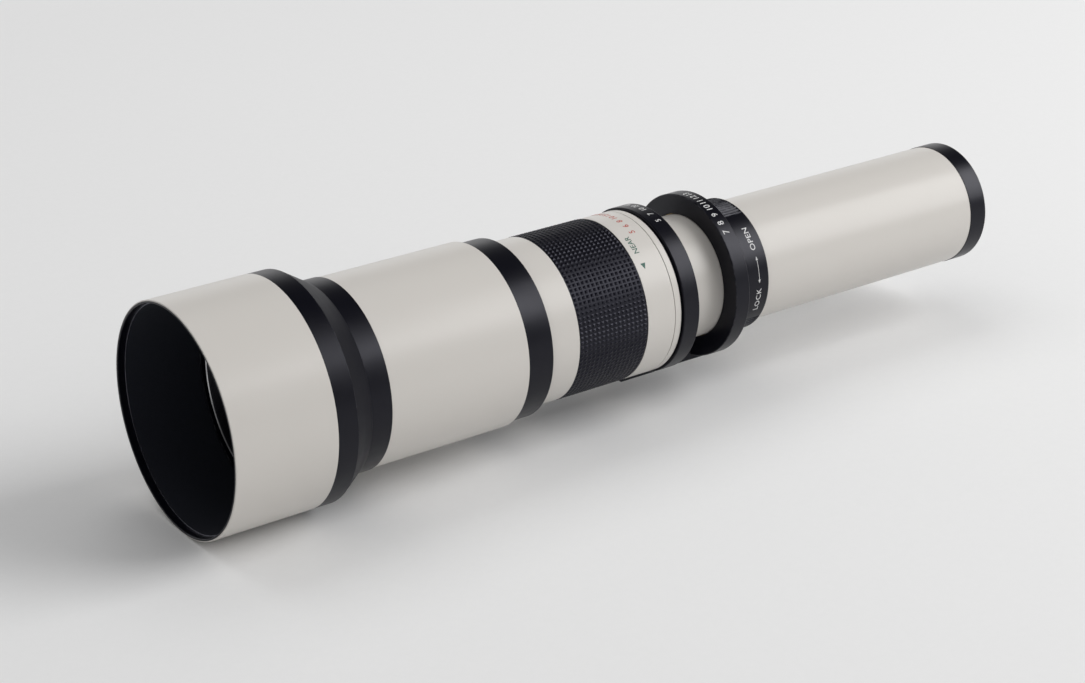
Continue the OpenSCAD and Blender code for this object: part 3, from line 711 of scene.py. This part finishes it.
def barrel():
    """Pale main barrel, black inside, and the black band between it and the focusing ring."""
    inner = barrel_r - BARREL_WALL
    black_inside("barrel_inside", "barrel", nose_rear - BARREL_SPIGOT, barrel_rear, inner)
    turned("barrel_shell", "barrel", "pale_enamel", [
        (nose_rear - BARREL_SPIGOT, inner + PAINT, 0),
        (nose_rear - BARREL_SPIGOT, barrel_r - SPIGOT_DROP, 0),
        (nose_rear, barrel_r - SPIGOT_DROP, 0),
        (nose_rear, barrel_r, BARREL_EDGE),
        (barrel_rear, barrel_r, BARREL_EDGE),
        (barrel_rear, inner + PAINT, 0),
    ], ["main_barrel"])
    band = radius("mid_band")
    spigot = inner - SLIDE_FIT
    turned("step_band", "barrel", "black_anodised", [
        (barrel_rear - MID_SPIGOT, spigot - MID_SPIGOT_WALL, 0),
        (barrel_rear - MID_SPIGOT, spigot, 0),
        (barrel_rear, spigot, 0),
        (barrel_rear, band, CRISP_EDGE),
        (mid_rear, band, SOFT_EDGE),
        (mid_rear, guide_r + SLIDE_FIT, 0),
        (barrel_rear, guide_r + SLIDE_FIT, 0),
        (barrel_rear, spigot - MID_SPIGOT_WALL, 0),
    ], ["mid_band"])


# Focusing ring with its rubber grip

GRIP_SEAT = 1.2 * MM
GRIP_RIM = 0.06 * MM
STUD_MARGIN = 0.35 * MM
STUD_ROWS = 16
STUDS_ROUND = 109

# Places across one stud, and the share of its height that it has there
STUD_STEPS = ((0.0, 0.0), (0.15, 0.0), (0.46, 1.0), (0.54, 1.0), (0.85, 0.0))


def focus_group():
    """Pale focusing ring, and the sleeve of studded rubber round it."""
    inner = guide_r + RUN_FIT
    seat = focus_r - GRIP_SEAT
    turned("focus_shell", "focus", "pale_enamel", [
        (focus_front, inner, 0),
        (focus_front, focus_r, PLAIN_EDGE),
        (grip_front, focus_r, FINE_EDGE),
        (grip_front, seat, 0),
        (grip_rear, seat, 0),
        (grip_rear, focus_r, FINE_EDGE),
        (focus_rear, focus_r, PLAIN_EDGE),
        (focus_rear, inner, 0),
    ], ["focus_ring"])
    studs = finish_mesh("stud_grip", stud_mesh(seat + SLIDE_FIT), STUD_CREASE_DEGREES)
    add_piece("stud_grip", studs, "focus", "grip_rubber", ["focus_grip"])


def stud_mesh(inner):
    """A sleeve covered in rows of blunt pyramids.

    A face with a single highest corner is split in two from that corner.
    """
    pitch = (grip_rear - grip_front - 2 * STUD_MARGIN) / STUD_ROWS
    ground = grip_r - STUD_HEIGHT
    rows = [(grip_front, 0.0), (grip_front + GRIP_RIM, 0.0)]
    rows += [(grip_front + STUD_MARGIN + (row + step) * pitch, rise) for row in range(STUD_ROWS)
             for step, rise in STUD_STEPS]
    rows += [(grip_rear - STUD_MARGIN, 0.0), (grip_rear - GRIP_RIM, 0.0), (grip_rear, 0.0)]
    columns = [((stud + step) * 2 * math.pi / STUDS_ROUND, climb) for stud in range(STUDS_ROUND)
               for step, climb in STUD_STEPS]
    heights = [[STUD_HEIGHT * min(rise, climb) for _, climb in columns] for _, rise in rows]
    heights[0] = heights[-1] = [-GRIP_RIM] * len(columns)
    rows += [(grip_rear, 0.0), (grip_front, 0.0)]
    heights += [[inner - ground] * len(columns)] * 2
    mesh = bmesh.new()
    rings = [[mesh.verts.new((x, -(ground + h) * math.sin(a), (ground + h) * math.cos(a)))
              for (a, _), h in zip(columns, line)] for (x, _), line in zip(rows, heights)]
    for i, ring in enumerate(rings):
        j = (i + 1) % len(rings)
        for k in range(len(columns)):
            after = (k + 1) % len(columns)
            corners = [ring[k], ring[after], rings[j][after], rings[j][k]]
            levels = [heights[i][k], heights[i][after], heights[j][after], heights[j][k]]
            top = levels.index(max(levels))
            if levels.count(levels[top]) == 1:
                turned_round = corners[top:] + corners[:top]
                mesh.faces.new(turned_round[:3])
                mesh.faces.new((turned_round[0], turned_round[2], turned_round[3]))
            else:
                mesh.faces.new(corners)
    bmesh.ops.recalc_face_normals(mesh, faces=mesh.faces)
    return mesh


# Rear rings

INDEX_STEP = 1 * MM
INDEX_STEP_DROP = 1.8 * MM
INDEX_SLOPE = 0.6 * MM
SLOPE_FOOT = 0.15 * MM
SLOPE_DROP = 0.2 * MM
INDEX_WALL = 3 * MM
FELT = 1.85 * MM
BOSS_GAP = 0.3 * MM
GUIDE_WALL = 1.7 * MM
COLLET_SEAT = 7 * MM


def rear_rings():
    """Narrow pale ring, black index ring and the large collar."""
    shell = guide_r + SLIDE_FIT
    turned("fixed_ring", "barrel", "pale_enamel", [
        (fixed_front, shell, 0),
        (fixed_front, focus_r, CRISP_EDGE),
        (fixed_rear, focus_r, SOFT_EDGE),
        (fixed_rear, shell, 0),
    ], ["rear_fixed_ring"])
    wall = index_rear - INDEX_WALL
    bore = tube_r + PASS_GAP
    felt_seat = tube_r + SLIDE_FIT + FELT
    boss = guide_r - GUIDE_WALL - SLIDE_FIT
    slope = index_front + INDEX_STEP
    turned("scale_ring", "barrel", "black_anodised", [
        (index_front, shell, 0),
        (index_front, index_r - INDEX_STEP_DROP, FINE_EDGE),
        (slope, index_r - INDEX_STEP_DROP, 0),
        (slope + SLOPE_FOOT, index_r - SLOPE_DROP, FINE_EDGE),
        (slope + INDEX_SLOPE, index_r, EASED_EDGE),
        (index_rear, index_r, SOFT_EDGE),
        (index_rear, bore, PLAIN_EDGE),
        (wall, bore, 0),
        (wall, felt_seat, 0),
        (index_front + BOSS_GAP, felt_seat, 0),
        (index_front + BOSS_GAP, boss, 0),
        (wall, boss, 0),
        (wall, shell, 0),
    ], ["index_ring"])
    socket = collet_r + SLIDE_FIT
    seat = collar_rear - COLLET_SEAT
    turned("large_ring", "barrel", "black_anodised", [
        (collar_front, bore, EASED_EDGE),
        (collar_front, collar_r, ROUND_EDGE),
        (collar_rear, collar_r, ROUND_EDGE),
        (collar_rear, socket, PLAIN_EDGE),
        (seat, socket, 0),
        (seat, bore, 0),
    ], ["collar_ring"])


# Lock ring

# Ribs in a full turn, and the smooth panel's angle, its centre from the top towards -Y, and its steps
RIBS_PER_TURN = 104
PANEL_ANGLE = 103
PANEL_CENTRE = 72.7
PANEL_STEPS = 96
PASS_LIP = 1.6 * MM
LOCK_FRONT_EDGE = 0.2 * MM
LOCK_FRONT_SHOULDER = 0.06 * MM
LOCK_REAR_SHOULDER = 0.1 * MM
RIB_FRONT_RIM = 1.2 * MM
RIB_REAR_RIM = 0.4 * MM
RIB_RAMP = 0.3 * MM
RIB_DEPTH = 0.84 * MM

# Places across one rib, and how much of the depth is cut away there
RIB_FORM = ((0.0, 1.0), (0.05, 1.0), (0.40, 0.095), (0.448, 0.025), (0.552, 0.025), (0.60, 0.095),
            (0.95, 1.0))


def locking_ring():
    """Lock ring: ribbed for the fingers, but for a smooth panel that carries its words."""
    inner = collet_r + RUN_FIT
    lip = lock_rear - PASS_LIP
    step = 360 / RIBS_PER_TURN
    ribs = int((360 - PANEL_ANGLE) / step)
    start = PANEL_CENTRE + 180 - ribs * step / 2
    turns = [(math.radians(start + (rib + place) * step), cut) for rib in range(ribs)
             for place, cut in RIB_FORM]
    bare = 360 - ribs * step
    turns += [(math.radians(start + ribs * step + bare * k / PANEL_STEPS), 0.0) for k in range(PANEL_STEPS)]
    points = [
        (lock_front, inner, 0.0),
        (lock_front, lock_r - LOCK_FRONT_EDGE, 0.0),
        (lock_front + LOCK_FRONT_SHOULDER, lock_r - LOCK_FRONT_SHOULDER, 0.0),
        (lock_front + LOCK_FRONT_EDGE, lock_r, 0.0),
        (lock_front + RIB_FRONT_RIM, lock_r, 0.0),
        (lock_front + RIB_FRONT_RIM + RIB_RAMP, lock_r, RIB_DEPTH),
        (lock_rear - RIB_REAR_RIM - RIB_RAMP, lock_r, RIB_DEPTH),
        (lock_rear - RIB_REAR_RIM, lock_r, 0.0),
        (lock_rear - LOCK_REAR_SHOULDER, lock_r - LOCK_REAR_SHOULDER, 0.0),
        (lock_rear, lock_r - RIB_REAR_RIM, 0.0),
        (lock_rear, tube_r + PASS_GAP, 0.0),
        (lip, tube_r + PASS_GAP, 0.0),
        (lip, inner, 0.0),
    ]
    mesh = finish_mesh("locking_ring", spin(points, turns=turns), RIB_CREASE_DEGREES)
    add_piece("locking_ring", mesh, "lock", "black_anodised", ["lock_ring"])


# Zoom tube, tail ring and camera mount

TUBE_WALL = 1.8 * MM
TAIL_SPIGOT = 12 * MM
TAIL_SPIGOT_WALL = 1.65 * MM
TAIL_WALL = 7 * MM
TAIL_BORE_STEP = 2 * MM
MOUNT_THREAD_R = 21 * MM
MOUNT_BORE_R = 18.5 * MM
MOUNT_THREAD_RISE = 0.35 * MM
MOUNT_TIP_DROP = 0.6 * MM

# Plain stretches before and behind the grooves of the camera thread
MOUNT_LEAD_IN = 0.7 * MM
MOUNT_RUN_OUT = 0.4 * MM


def rear_group():
    """Pale zoom tube, black inside, its tail ring and the screw-thread camera mount."""
    bore = tube_r - TUBE_WALL
    black_inside("tube_inside", "zoom", tube_front, tube_rear, bore)
    turned("sliding_tube", "zoom", "pale_enamel", [
        (tube_front, bore + PAINT, 0),
        (tube_front, tube_r, FINE_EDGE),
        (tube_rear, tube_r, CRISP_EDGE),
        (tube_rear, bore + PAINT, 0),
    ], ["zoom_tube"])
    spigot = bore - SLIDE_FIT
    inner = spigot - TAIL_SPIGOT_WALL
    light = MOUNT_BORE_R + TAIL_BORE_STEP
    turned("tail_cap", "zoom", "black_anodised", [
        (tube_rear - TAIL_SPIGOT, inner, EASED_EDGE),
        (tube_rear - TAIL_SPIGOT, spigot, 0),
        (tube_rear, spigot, 0),
        (tube_rear, tail_r, CRISP_EDGE),
        (tail_rear, tail_r, TAIL_EDGE),
        (tail_rear, flange_r + SLIDE_FIT, CRISP_EDGE),
        (flange_front, flange_r + SLIDE_FIT, 0),
        (flange_front, light, 0),
        (tail_rear - TAIL_WALL, light, 0),
        (tail_rear - TAIL_WALL, inner, 0),
    ], ["tail_ring"])
    root = MOUNT_THREAD_R - MOUNT_THREAD_RISE
    ridges = thread(tail_rear + MOUNT_LEAD_IN, thread_rear - tail_rear - MOUNT_LEAD_IN - MOUNT_RUN_OUT,
                    root, MOUNT_THREAD_RISE)
    turned("mount_flange", "zoom", "black_anodised", [
        (flange_front, MOUNT_BORE_R, PLAIN_EDGE),
        (flange_front, flange_r, 0),
        (tail_rear, flange_r, PLAIN_EDGE),
        (tail_rear, root, FINE_EDGE),
    ] + ridges + [
        (thread_rear, MOUNT_THREAD_R - MOUNT_TIP_DROP, FINE_EDGE),
        (thread_rear, MOUNT_BORE_R, EASED_EDGE),
    ], ["mount_ring"])


# Number of the mount's screws, and how far their slots are turned from the axis, in degrees
MOUNT_SCREWS = 3
SCREW_TURN = 25

# Sizes of a screw's head
SCREW_STEPS = 36
SCREW_HEAD_R = 1.78 * MM
SCREW_EDGE = 0.12 * MM
SLOT_DEPTH = 0.7 * MM
SHANK_BELOW_SLOT = 0.4 * MM

# Shares of the head's radius: the shank, and the reach and half width of the slot
SHANK_SHARE = 0.6
SLOT_REACH = 0.72
SLOT_HALF_WIDTH = 0.17

# How much smaller the cross is at the slot's floor than at its mouth
SLOT_TAPER = 0.75


def screw_heads(name, body, nodes, seats):
    """Cross-slotted heads at seats, each (centre, outward direction, direction along the slot)."""
    mesh = bmesh.new()
    arm = SLOT_REACH * SCREW_HEAD_R
    half = SLOT_HALF_WIDTH * SCREW_HEAD_R
    flat_r = SCREW_HEAD_R - SCREW_EDGE
    shank_r = SHANK_SHARE * SCREW_HEAD_R
    cross = [(half, half), (half, arm), (-half, arm), (-half, half), (-arm, half), (-arm, -half),
             (-half, -half), (-half, -arm), (half, -arm), (half, -half), (arm, -half), (arm, half)]
    for centre, out, slot in seats:
        side = out.cross(slot)

        def at(u, v, w):
            return mesh.verts.new(centre + slot * u + side * v + out * w)

        circle = [(math.cos(a), math.sin(a)) for a, _ in even_turns(SCREW_STEPS)]
        rim = [at(SCREW_HEAD_R * u, SCREW_HEAD_R * v, -SCREW_EDGE) for u, v in circle]
        top = [at(flat_r * u, flat_r * v, 0.0) for u, v in circle]
        base = [at(shank_r * u, shank_r * v, -SLOT_DEPTH - SHANK_BELOW_SLOT) for u, v in circle]
        mouth = [at(u, v, 0.0) for u, v in cross]
        bottom = [at(SLOT_TAPER * u, SLOT_TAPER * v, -SLOT_DEPTH) for u, v in cross]
        for low, high in ((rim, top), (base, rim), (bottom, mouth)):
            count = len(low)
            for k in range(count):
                mesh.faces.new((low[k], low[(k + 1) % count], high[(k + 1) % count], high[k]))
        mesh.faces.new(base)
        mesh.faces.new(bottom)
        edges = [mesh.edges.get((loop[k], loop[(k + 1) % len(loop)])) for loop in (top, mouth)
                 for k in range(len(loop))]
        bmesh.ops.triangle_fill(mesh, edges=edges, use_beauty=True, use_dissolve=False)
    bmesh.ops.recalc_face_normals(mesh, faces=mesh.faces)
    add_piece(name, finish_mesh(name, mesh), body, "steel", nodes)


def mount_screws():
    """Three sunk screws in the flange of the camera mount."""
    ring = (MOUNT_THREAD_R + flange_r) / 2
    seats = []
    for k in range(MOUNT_SCREWS):
        turn = 360 * k / MOUNT_SCREWS
        centre = around(turn, ring) + Vector((tail_rear, 0, 0))
        seats.append((centre, Vector((1, 0, 0)), around(turn + SCREW_TURN, 1.0)))
    screw_heads("mount_screw_heads", "zoom", ["mount_screws"], seats)


# Lettering, wrapped on the rings

# Width of the strips that a flat shape is cut into, so that it can bend round a ring
WRAP_STEP = 0.7 * MM

# Height of a capital as a share of the font's size, and the steps along each of its curves
CAPITAL_SHARE = 0.72
LETTER_ROUND_STEPS = 3

# Half the thickness of painted letters, how much bolder than the font they are, and their lift
LETTER_HALF = 0.02 * MM
LETTER_SWELL = 0.03 * MM
LETTER_LIFT = 0.01 * MM

# Thickness and lift of a painted shape
MARK_THICKNESS = 0.03 * MM
MARK_LIFT = 0.005 * MM

# Lines round the rings that carry marks: body, slot, ink, station and radius
COLLAR_LINE = ("barrel", "black_anodised", "white", collar_front + 4.3 * MM, collar_r)
INDEX_LINE = ("barrel", "black_anodised", "white", index_front + 7.2 * MM, index_r)
DISTANCE_LINE = ("focus", "pale_enamel", "red", focus_rear - 6.8 * MM, focus_r)
NEAR_LINE = ("focus", "pale_enamel", "green", focus_rear - 12.3 * MM, focus_r)
LOCK_LINE = ("lock", "black_anodised", "white", lock_front + 13.2 * MM, lock_r)

# Rows of plain numbers: name, numbers, line, height, and facing angle of the first and step to the next
NUMBER_ROWS = (
    ("zoom_number", (7, 8, 9, 10, 11, 12, 13), COLLAR_LINE, 3.8 * MM, 20.5, 7.6),
    ("range_number", (5, 7, 10, 20, 40), INDEX_LINE, 3.2 * MM, 44.0, 8.6),
    ("distance_number", (5, 6, 8, 10, 15, 25, 50), DISTANCE_LINE, 3.5 * MM, 41.5, 7.2),
)
WORD_HEIGHT = 3.2 * MM

# The lock ring's double arrow: facing angle of its middle, then sizes from there in millimetres
ARROW_FACING = -13.2
ARROW_LINE_REACH = 5.8
ARROW_LINE_HALF = 0.14
ARROW_TIP_REACH = 7.3
ARROW_TIP_BASE = 5.3
ARROW_TIP_HALF = 0.7


def wrap_mesh(name, source, line, lift, facing):
    """Lays flat shapes on a line round a ring: their up direction points to the front.

    Facing is the angle, in degrees, up from the side that faces the camera.
    """
    body, slot, ink_name, x, line_r = line
    r = line_r + lift
    mesh = bmesh.new()
    mesh.from_mesh(source)
    bpy.data.meshes.remove(source)
    reach = max(abs(vert.co.x) for vert in mesh.verts)
    for cut in range(-int(reach / WRAP_STEP), int(reach / WRAP_STEP) + 1):
        whole = list(mesh.verts) + list(mesh.edges) + list(mesh.faces)
        bmesh.ops.bisect_plane(mesh, geom=whole, plane_co=(cut * WRAP_STEP, 0, 0), plane_no=(1, 0, 0))
    for vert in mesh.verts:
        u, v, w = vert.co
        place = around(FACING_TURN - facing - math.degrees(u / r), r + w)
        vert.co = (x - v, place.y, place.z)
    bmesh.ops.recalc_face_normals(mesh, faces=mesh.faces)
    data = bpy.data.meshes.new(name)
    mesh.to_mesh(data)
    mesh.free()
    add_piece(name, data, body, slot, material=INKS[ink_name])


def lettering(name, text, line, height, facing, stretch=1.0, spacing=1.0):
    """Text centred at a facing angle on a line round a ring."""
    curve = bpy.data.curves.new(name + "_text", "FONT")
    curve.body = text
    curve.size = height / CAPITAL_SHARE
    curve.extrude = LETTER_HALF
    curve.align_x = "CENTER"
    curve.align_y = "CENTER"
    curve.space_character = spacing
    curve.offset = LETTER_SWELL
    curve.resolution_u = LETTER_ROUND_STEPS
    holder = bpy.data.objects.new(name + "_text", curve)
    bpy.context.scene.collection.objects.link(holder)
    bpy.context.view_layer.update()
    flat = bpy.data.meshes.new_from_object(holder)
    bpy.data.objects.remove(holder)
    bpy.data.curves.remove(curve)
    for vert in flat.vertices:
        vert.co.x *= stretch
    wrap_mesh(name, flat, line, LETTER_LIFT, facing)


def mark(name, outline, line, facing):
    """A flat painted shape from points (along the reading direction, up) in millimetres."""
    mesh = bmesh.new()
    face = mesh.faces.new([mesh.verts.new((u * MM, v * MM, 0.0)) for u, v in outline])
    solid = bmesh.ops.extrude_face_region(mesh, geom=[face])
    top = [item for item in solid["geom"] if isinstance(item, bmesh.types.BMVert)]
    bmesh.ops.translate(mesh, verts=top, vec=(0, 0, MARK_THICKNESS))
    data = bpy.data.meshes.new(name + "_flat")
    mesh.to_mesh(data)
    mesh.free()
    wrap_mesh(name, data, line, MARK_LIFT, facing)


def all_lettering():
    """Plain numbers, and the words and arrows of the two rings that are turned."""
    for row, numbers, line, height, first, step in NUMBER_ROWS:
        for k, number in enumerate(numbers):
            lettering(f"{row}_{number}", str(number), line, height, first + step * k)
    lettering("near_word", "NEAR", NEAR_LINE, WORD_HEIGHT, facing=30.7)
    mark("near_arrow", [(-1.9, 0.0), (1.5, -1.5), (1.5, 1.5)], NEAR_LINE, facing=13.6)
    lettering("lock_word", "LOCK", LOCK_LINE, WORD_HEIGHT, facing=-40.7, stretch=1.08, spacing=1.1)
    lettering("open_word", "OPEN", LOCK_LINE, WORD_HEIGHT, facing=14.5, stretch=1.14, spacing=1.05)
    u, v = ARROW_LINE_REACH, ARROW_LINE_HALF
    mark("lock_arrow_line", [(-u, -v), (u, -v), (u, v), (-u, v)], LOCK_LINE, ARROW_FACING)
    for side in (-1, 1):
        base = side * ARROW_TIP_BASE
        tip = [(side * ARROW_TIP_REACH, 0.0), (base, ARROW_TIP_HALF), (base, -ARROW_TIP_HALF)]
        mark(f"lock_arrow_tip_{side + 1}", tip[::side], LOCK_LINE, ARROW_FACING)


hood()
nose()
lenses()
barrel()
focus_group()
rear_rings()
locking_ring()
rear_group()
mount_screws()
all_lettering()


# Floor, world, lamps and camera

FLOOR_SIZE = 16.0
FLOOR_GAP = 0.1 * MM

# Distances from the lens at which the paper begins to turn into the white backdrop, and has done so
PAPER_REACH = 0.75
WHITE_REACH = 1.9


def floor():
    """Pale paper floor under the lens, which runs out into the white backdrop further off."""
    mesh = bmesh.new()
    level = cad_box[0].z - FLOOR_GAP
    half = FLOOR_SIZE / 2
    mesh.faces.new([mesh.verts.new((x, y, level)) for x, y in
                    ((-half, -half), (half, -half), (half, half), (-half, half))])
    data = bpy.data.meshes.new("floor")
    mesh.to_mesh(data)
    mesh.free()
    piece = bpy.data.objects.new("floor", data)
    bpy.context.scene.collection.objects.link(piece)
    material, tree, shader, place = start_material("floor_paper")
    paper = (0.82, 0.82, 0.82)
    light_paper = (0.84, 0.84, 0.84)
    grain = noise(tree, place, scale=300.0, detail=3.0)
    tree.links.new(blend_colours(tree, grain, paper, light_paper), shader.inputs["Base Color"])
    shader.inputs["Roughness"].default_value = 0.9
    shader.inputs["Specular IOR Level"].default_value = 0.0
    middle = (cad_box[0] + cad_box[1]) / 2
    away = make(tree, "ShaderNodeVectorMath", {0: place, 1: (middle.x, middle.y, level)},
                operation="DISTANCE").outputs["Value"]
    reach = {"Value": away, "From Min": PAPER_REACH, "From Max": WHITE_REACH}
    far = make(tree, "ShaderNodeMapRange", reach, interpolation_type="SMOOTHSTEP").outputs["Result"]
    white = make(tree, "ShaderNodeEmission", {"Strength": 1.0})
    seen = maths(tree, "MULTIPLY", far, seen_directly(tree))
    mix = make(tree, "ShaderNodeMixShader", {0: seen, 1: shader.outputs[0], 2: white.outputs[0]})
    tree.links.new(mix.outputs[0], tree.nodes["Material Output"].inputs["Surface"])
    data.materials.append(material)


def seen_directly(tree):
    """One for rays from the camera, off glossy surfaces and through glass, which see the backdrop."""
    path = make(tree, "ShaderNodeLightPath")
    seen = maths(tree, "MAXIMUM", path.outputs["Is Camera Ray"], path.outputs["Is Glossy Ray"])
    return maths(tree, "MAXIMUM", seen, path.outputs["Is Transmission Ray"])


# Strength of the even fill, and of the front and the ceiling where glossy surfaces mirror them
WORLD_FILL = 0.37
FRONT_GLOSS = 0.2
CEILING_GLOSS = 0.05

# Where the mirrored backdrop brightens round the side, and where it ends under the ceiling, as
# coordinates of the direction: Y away from the camera and Z up
SIDE_FROM = 0.05
SIDE_TO = 0.5
CEILING_FROM = 0.28
CEILING_TO = 0.5


def world():
    """White backdrop behind, dimmer front and ceiling in the reflections, and an even fill."""
    item = bpy.data.worlds.new("studio")
    bpy.context.scene.world = item
    item.use_nodes = True
    tree = item.node_tree
    tree.nodes.clear()
    direction = make(tree, "ShaderNodeTexCoord").outputs["Generated"]
    parts = make(tree, "ShaderNodeSeparateXYZ", {0: direction})
    round_the_side = remap(tree, parts.outputs["Y"], (SIDE_FROM, SIDE_TO), (FRONT_GLOSS, 1.0))
    under_ceiling = remap(tree, parts.outputs["Z"], (CEILING_FROM, CEILING_TO), (1.0, 0.0))
    backdrop = maths(tree, "MAXIMUM", maths(tree, "MULTIPLY", round_the_side, under_ceiling), CEILING_GLOSS)
    path = make(tree, "ShaderNodeLightPath")
    seen = maths(tree, "MAXIMUM", path.outputs["Is Glossy Ray"], path.outputs["Is Transmission Ray"])
    unseen = blend_values(tree, seen, WORLD_FILL, backdrop)
    strength = blend_values(tree, path.outputs["Is Camera Ray"], unseen, 1.0)
    shade = make(tree, "ShaderNodeBackground", {"Color": (1.0, 1.0, 1.0, 1.0), "Strength": strength})
    out = make(tree, "ShaderNodeOutputWorld")
    tree.links.new(shade.outputs[0], out.inputs["Surface"])


def lamp(name, azimuth, elevation, distance, width, height, brightness, roll=0.0, glossy=True):
    """A soft box that faces the lens; its angles are in degrees and its brightness is its radiance."""
    a, e = math.radians(azimuth), math.radians(elevation)
    middle = (cad_box[0] + cad_box[1]) / 2
    toward = Vector((math.sin(a) * math.cos(e), -math.cos(a) * math.cos(e), math.sin(e)))
    light = bpy.data.lights.new(name, "AREA")
    light.shape = "RECTANGLE"
    light.size = width
    light.size_y = height
    light.energy = brightness * math.pi * width * height
    item = bpy.data.objects.new(name, light)
    bpy.context.scene.collection.objects.link(item)
    item.location = middle + toward * distance
    facing = (-toward).to_track_quat("-Z", "Y") @ Quaternion((0.0, 0.0, 1.0), math.radians(roll))
    item.rotation_euler = facing.to_euler()
    item.visible_glossy = glossy
    item.visible_camera = False


def camera():
    """The photograph's view."""
    data = bpy.data.cameras.new("camera")
    data.sensor_width = SENSOR_MM
    data.sensor_fit = "HORIZONTAL"
    data.lens = FOCAL_PIXELS * SENSOR_MM / FRAME_WIDTH
    data.clip_start = CLIP_START
    item = bpy.data.objects.new("camera", data)
    bpy.context.scene.collection.objects.link(item)
    forward = Vector(CAMERA_FORWARD).normalized()
    right = Vector(CAMERA_RIGHT).normalized()
    up = right.cross(forward)
    turn = Matrix((right, up, -forward)).transposed().to_4x4()
    item.matrix_world = Matrix.Translation(CAMERA_PLACE) @ turn
    bpy.context.scene.camera = item


floor()
world()
lamp("key", azimuth=56, elevation=33, distance=3.2, width=2.25, height=2.15, brightness=5.45, roll=22)
lamp("overhead", azimuth=180, elevation=62, distance=2.4, width=2.2, height=1.4, brightness=1.4,
     glossy=False)
camera()
bpy.context.scene.view_settings.view_transform = "Standard"
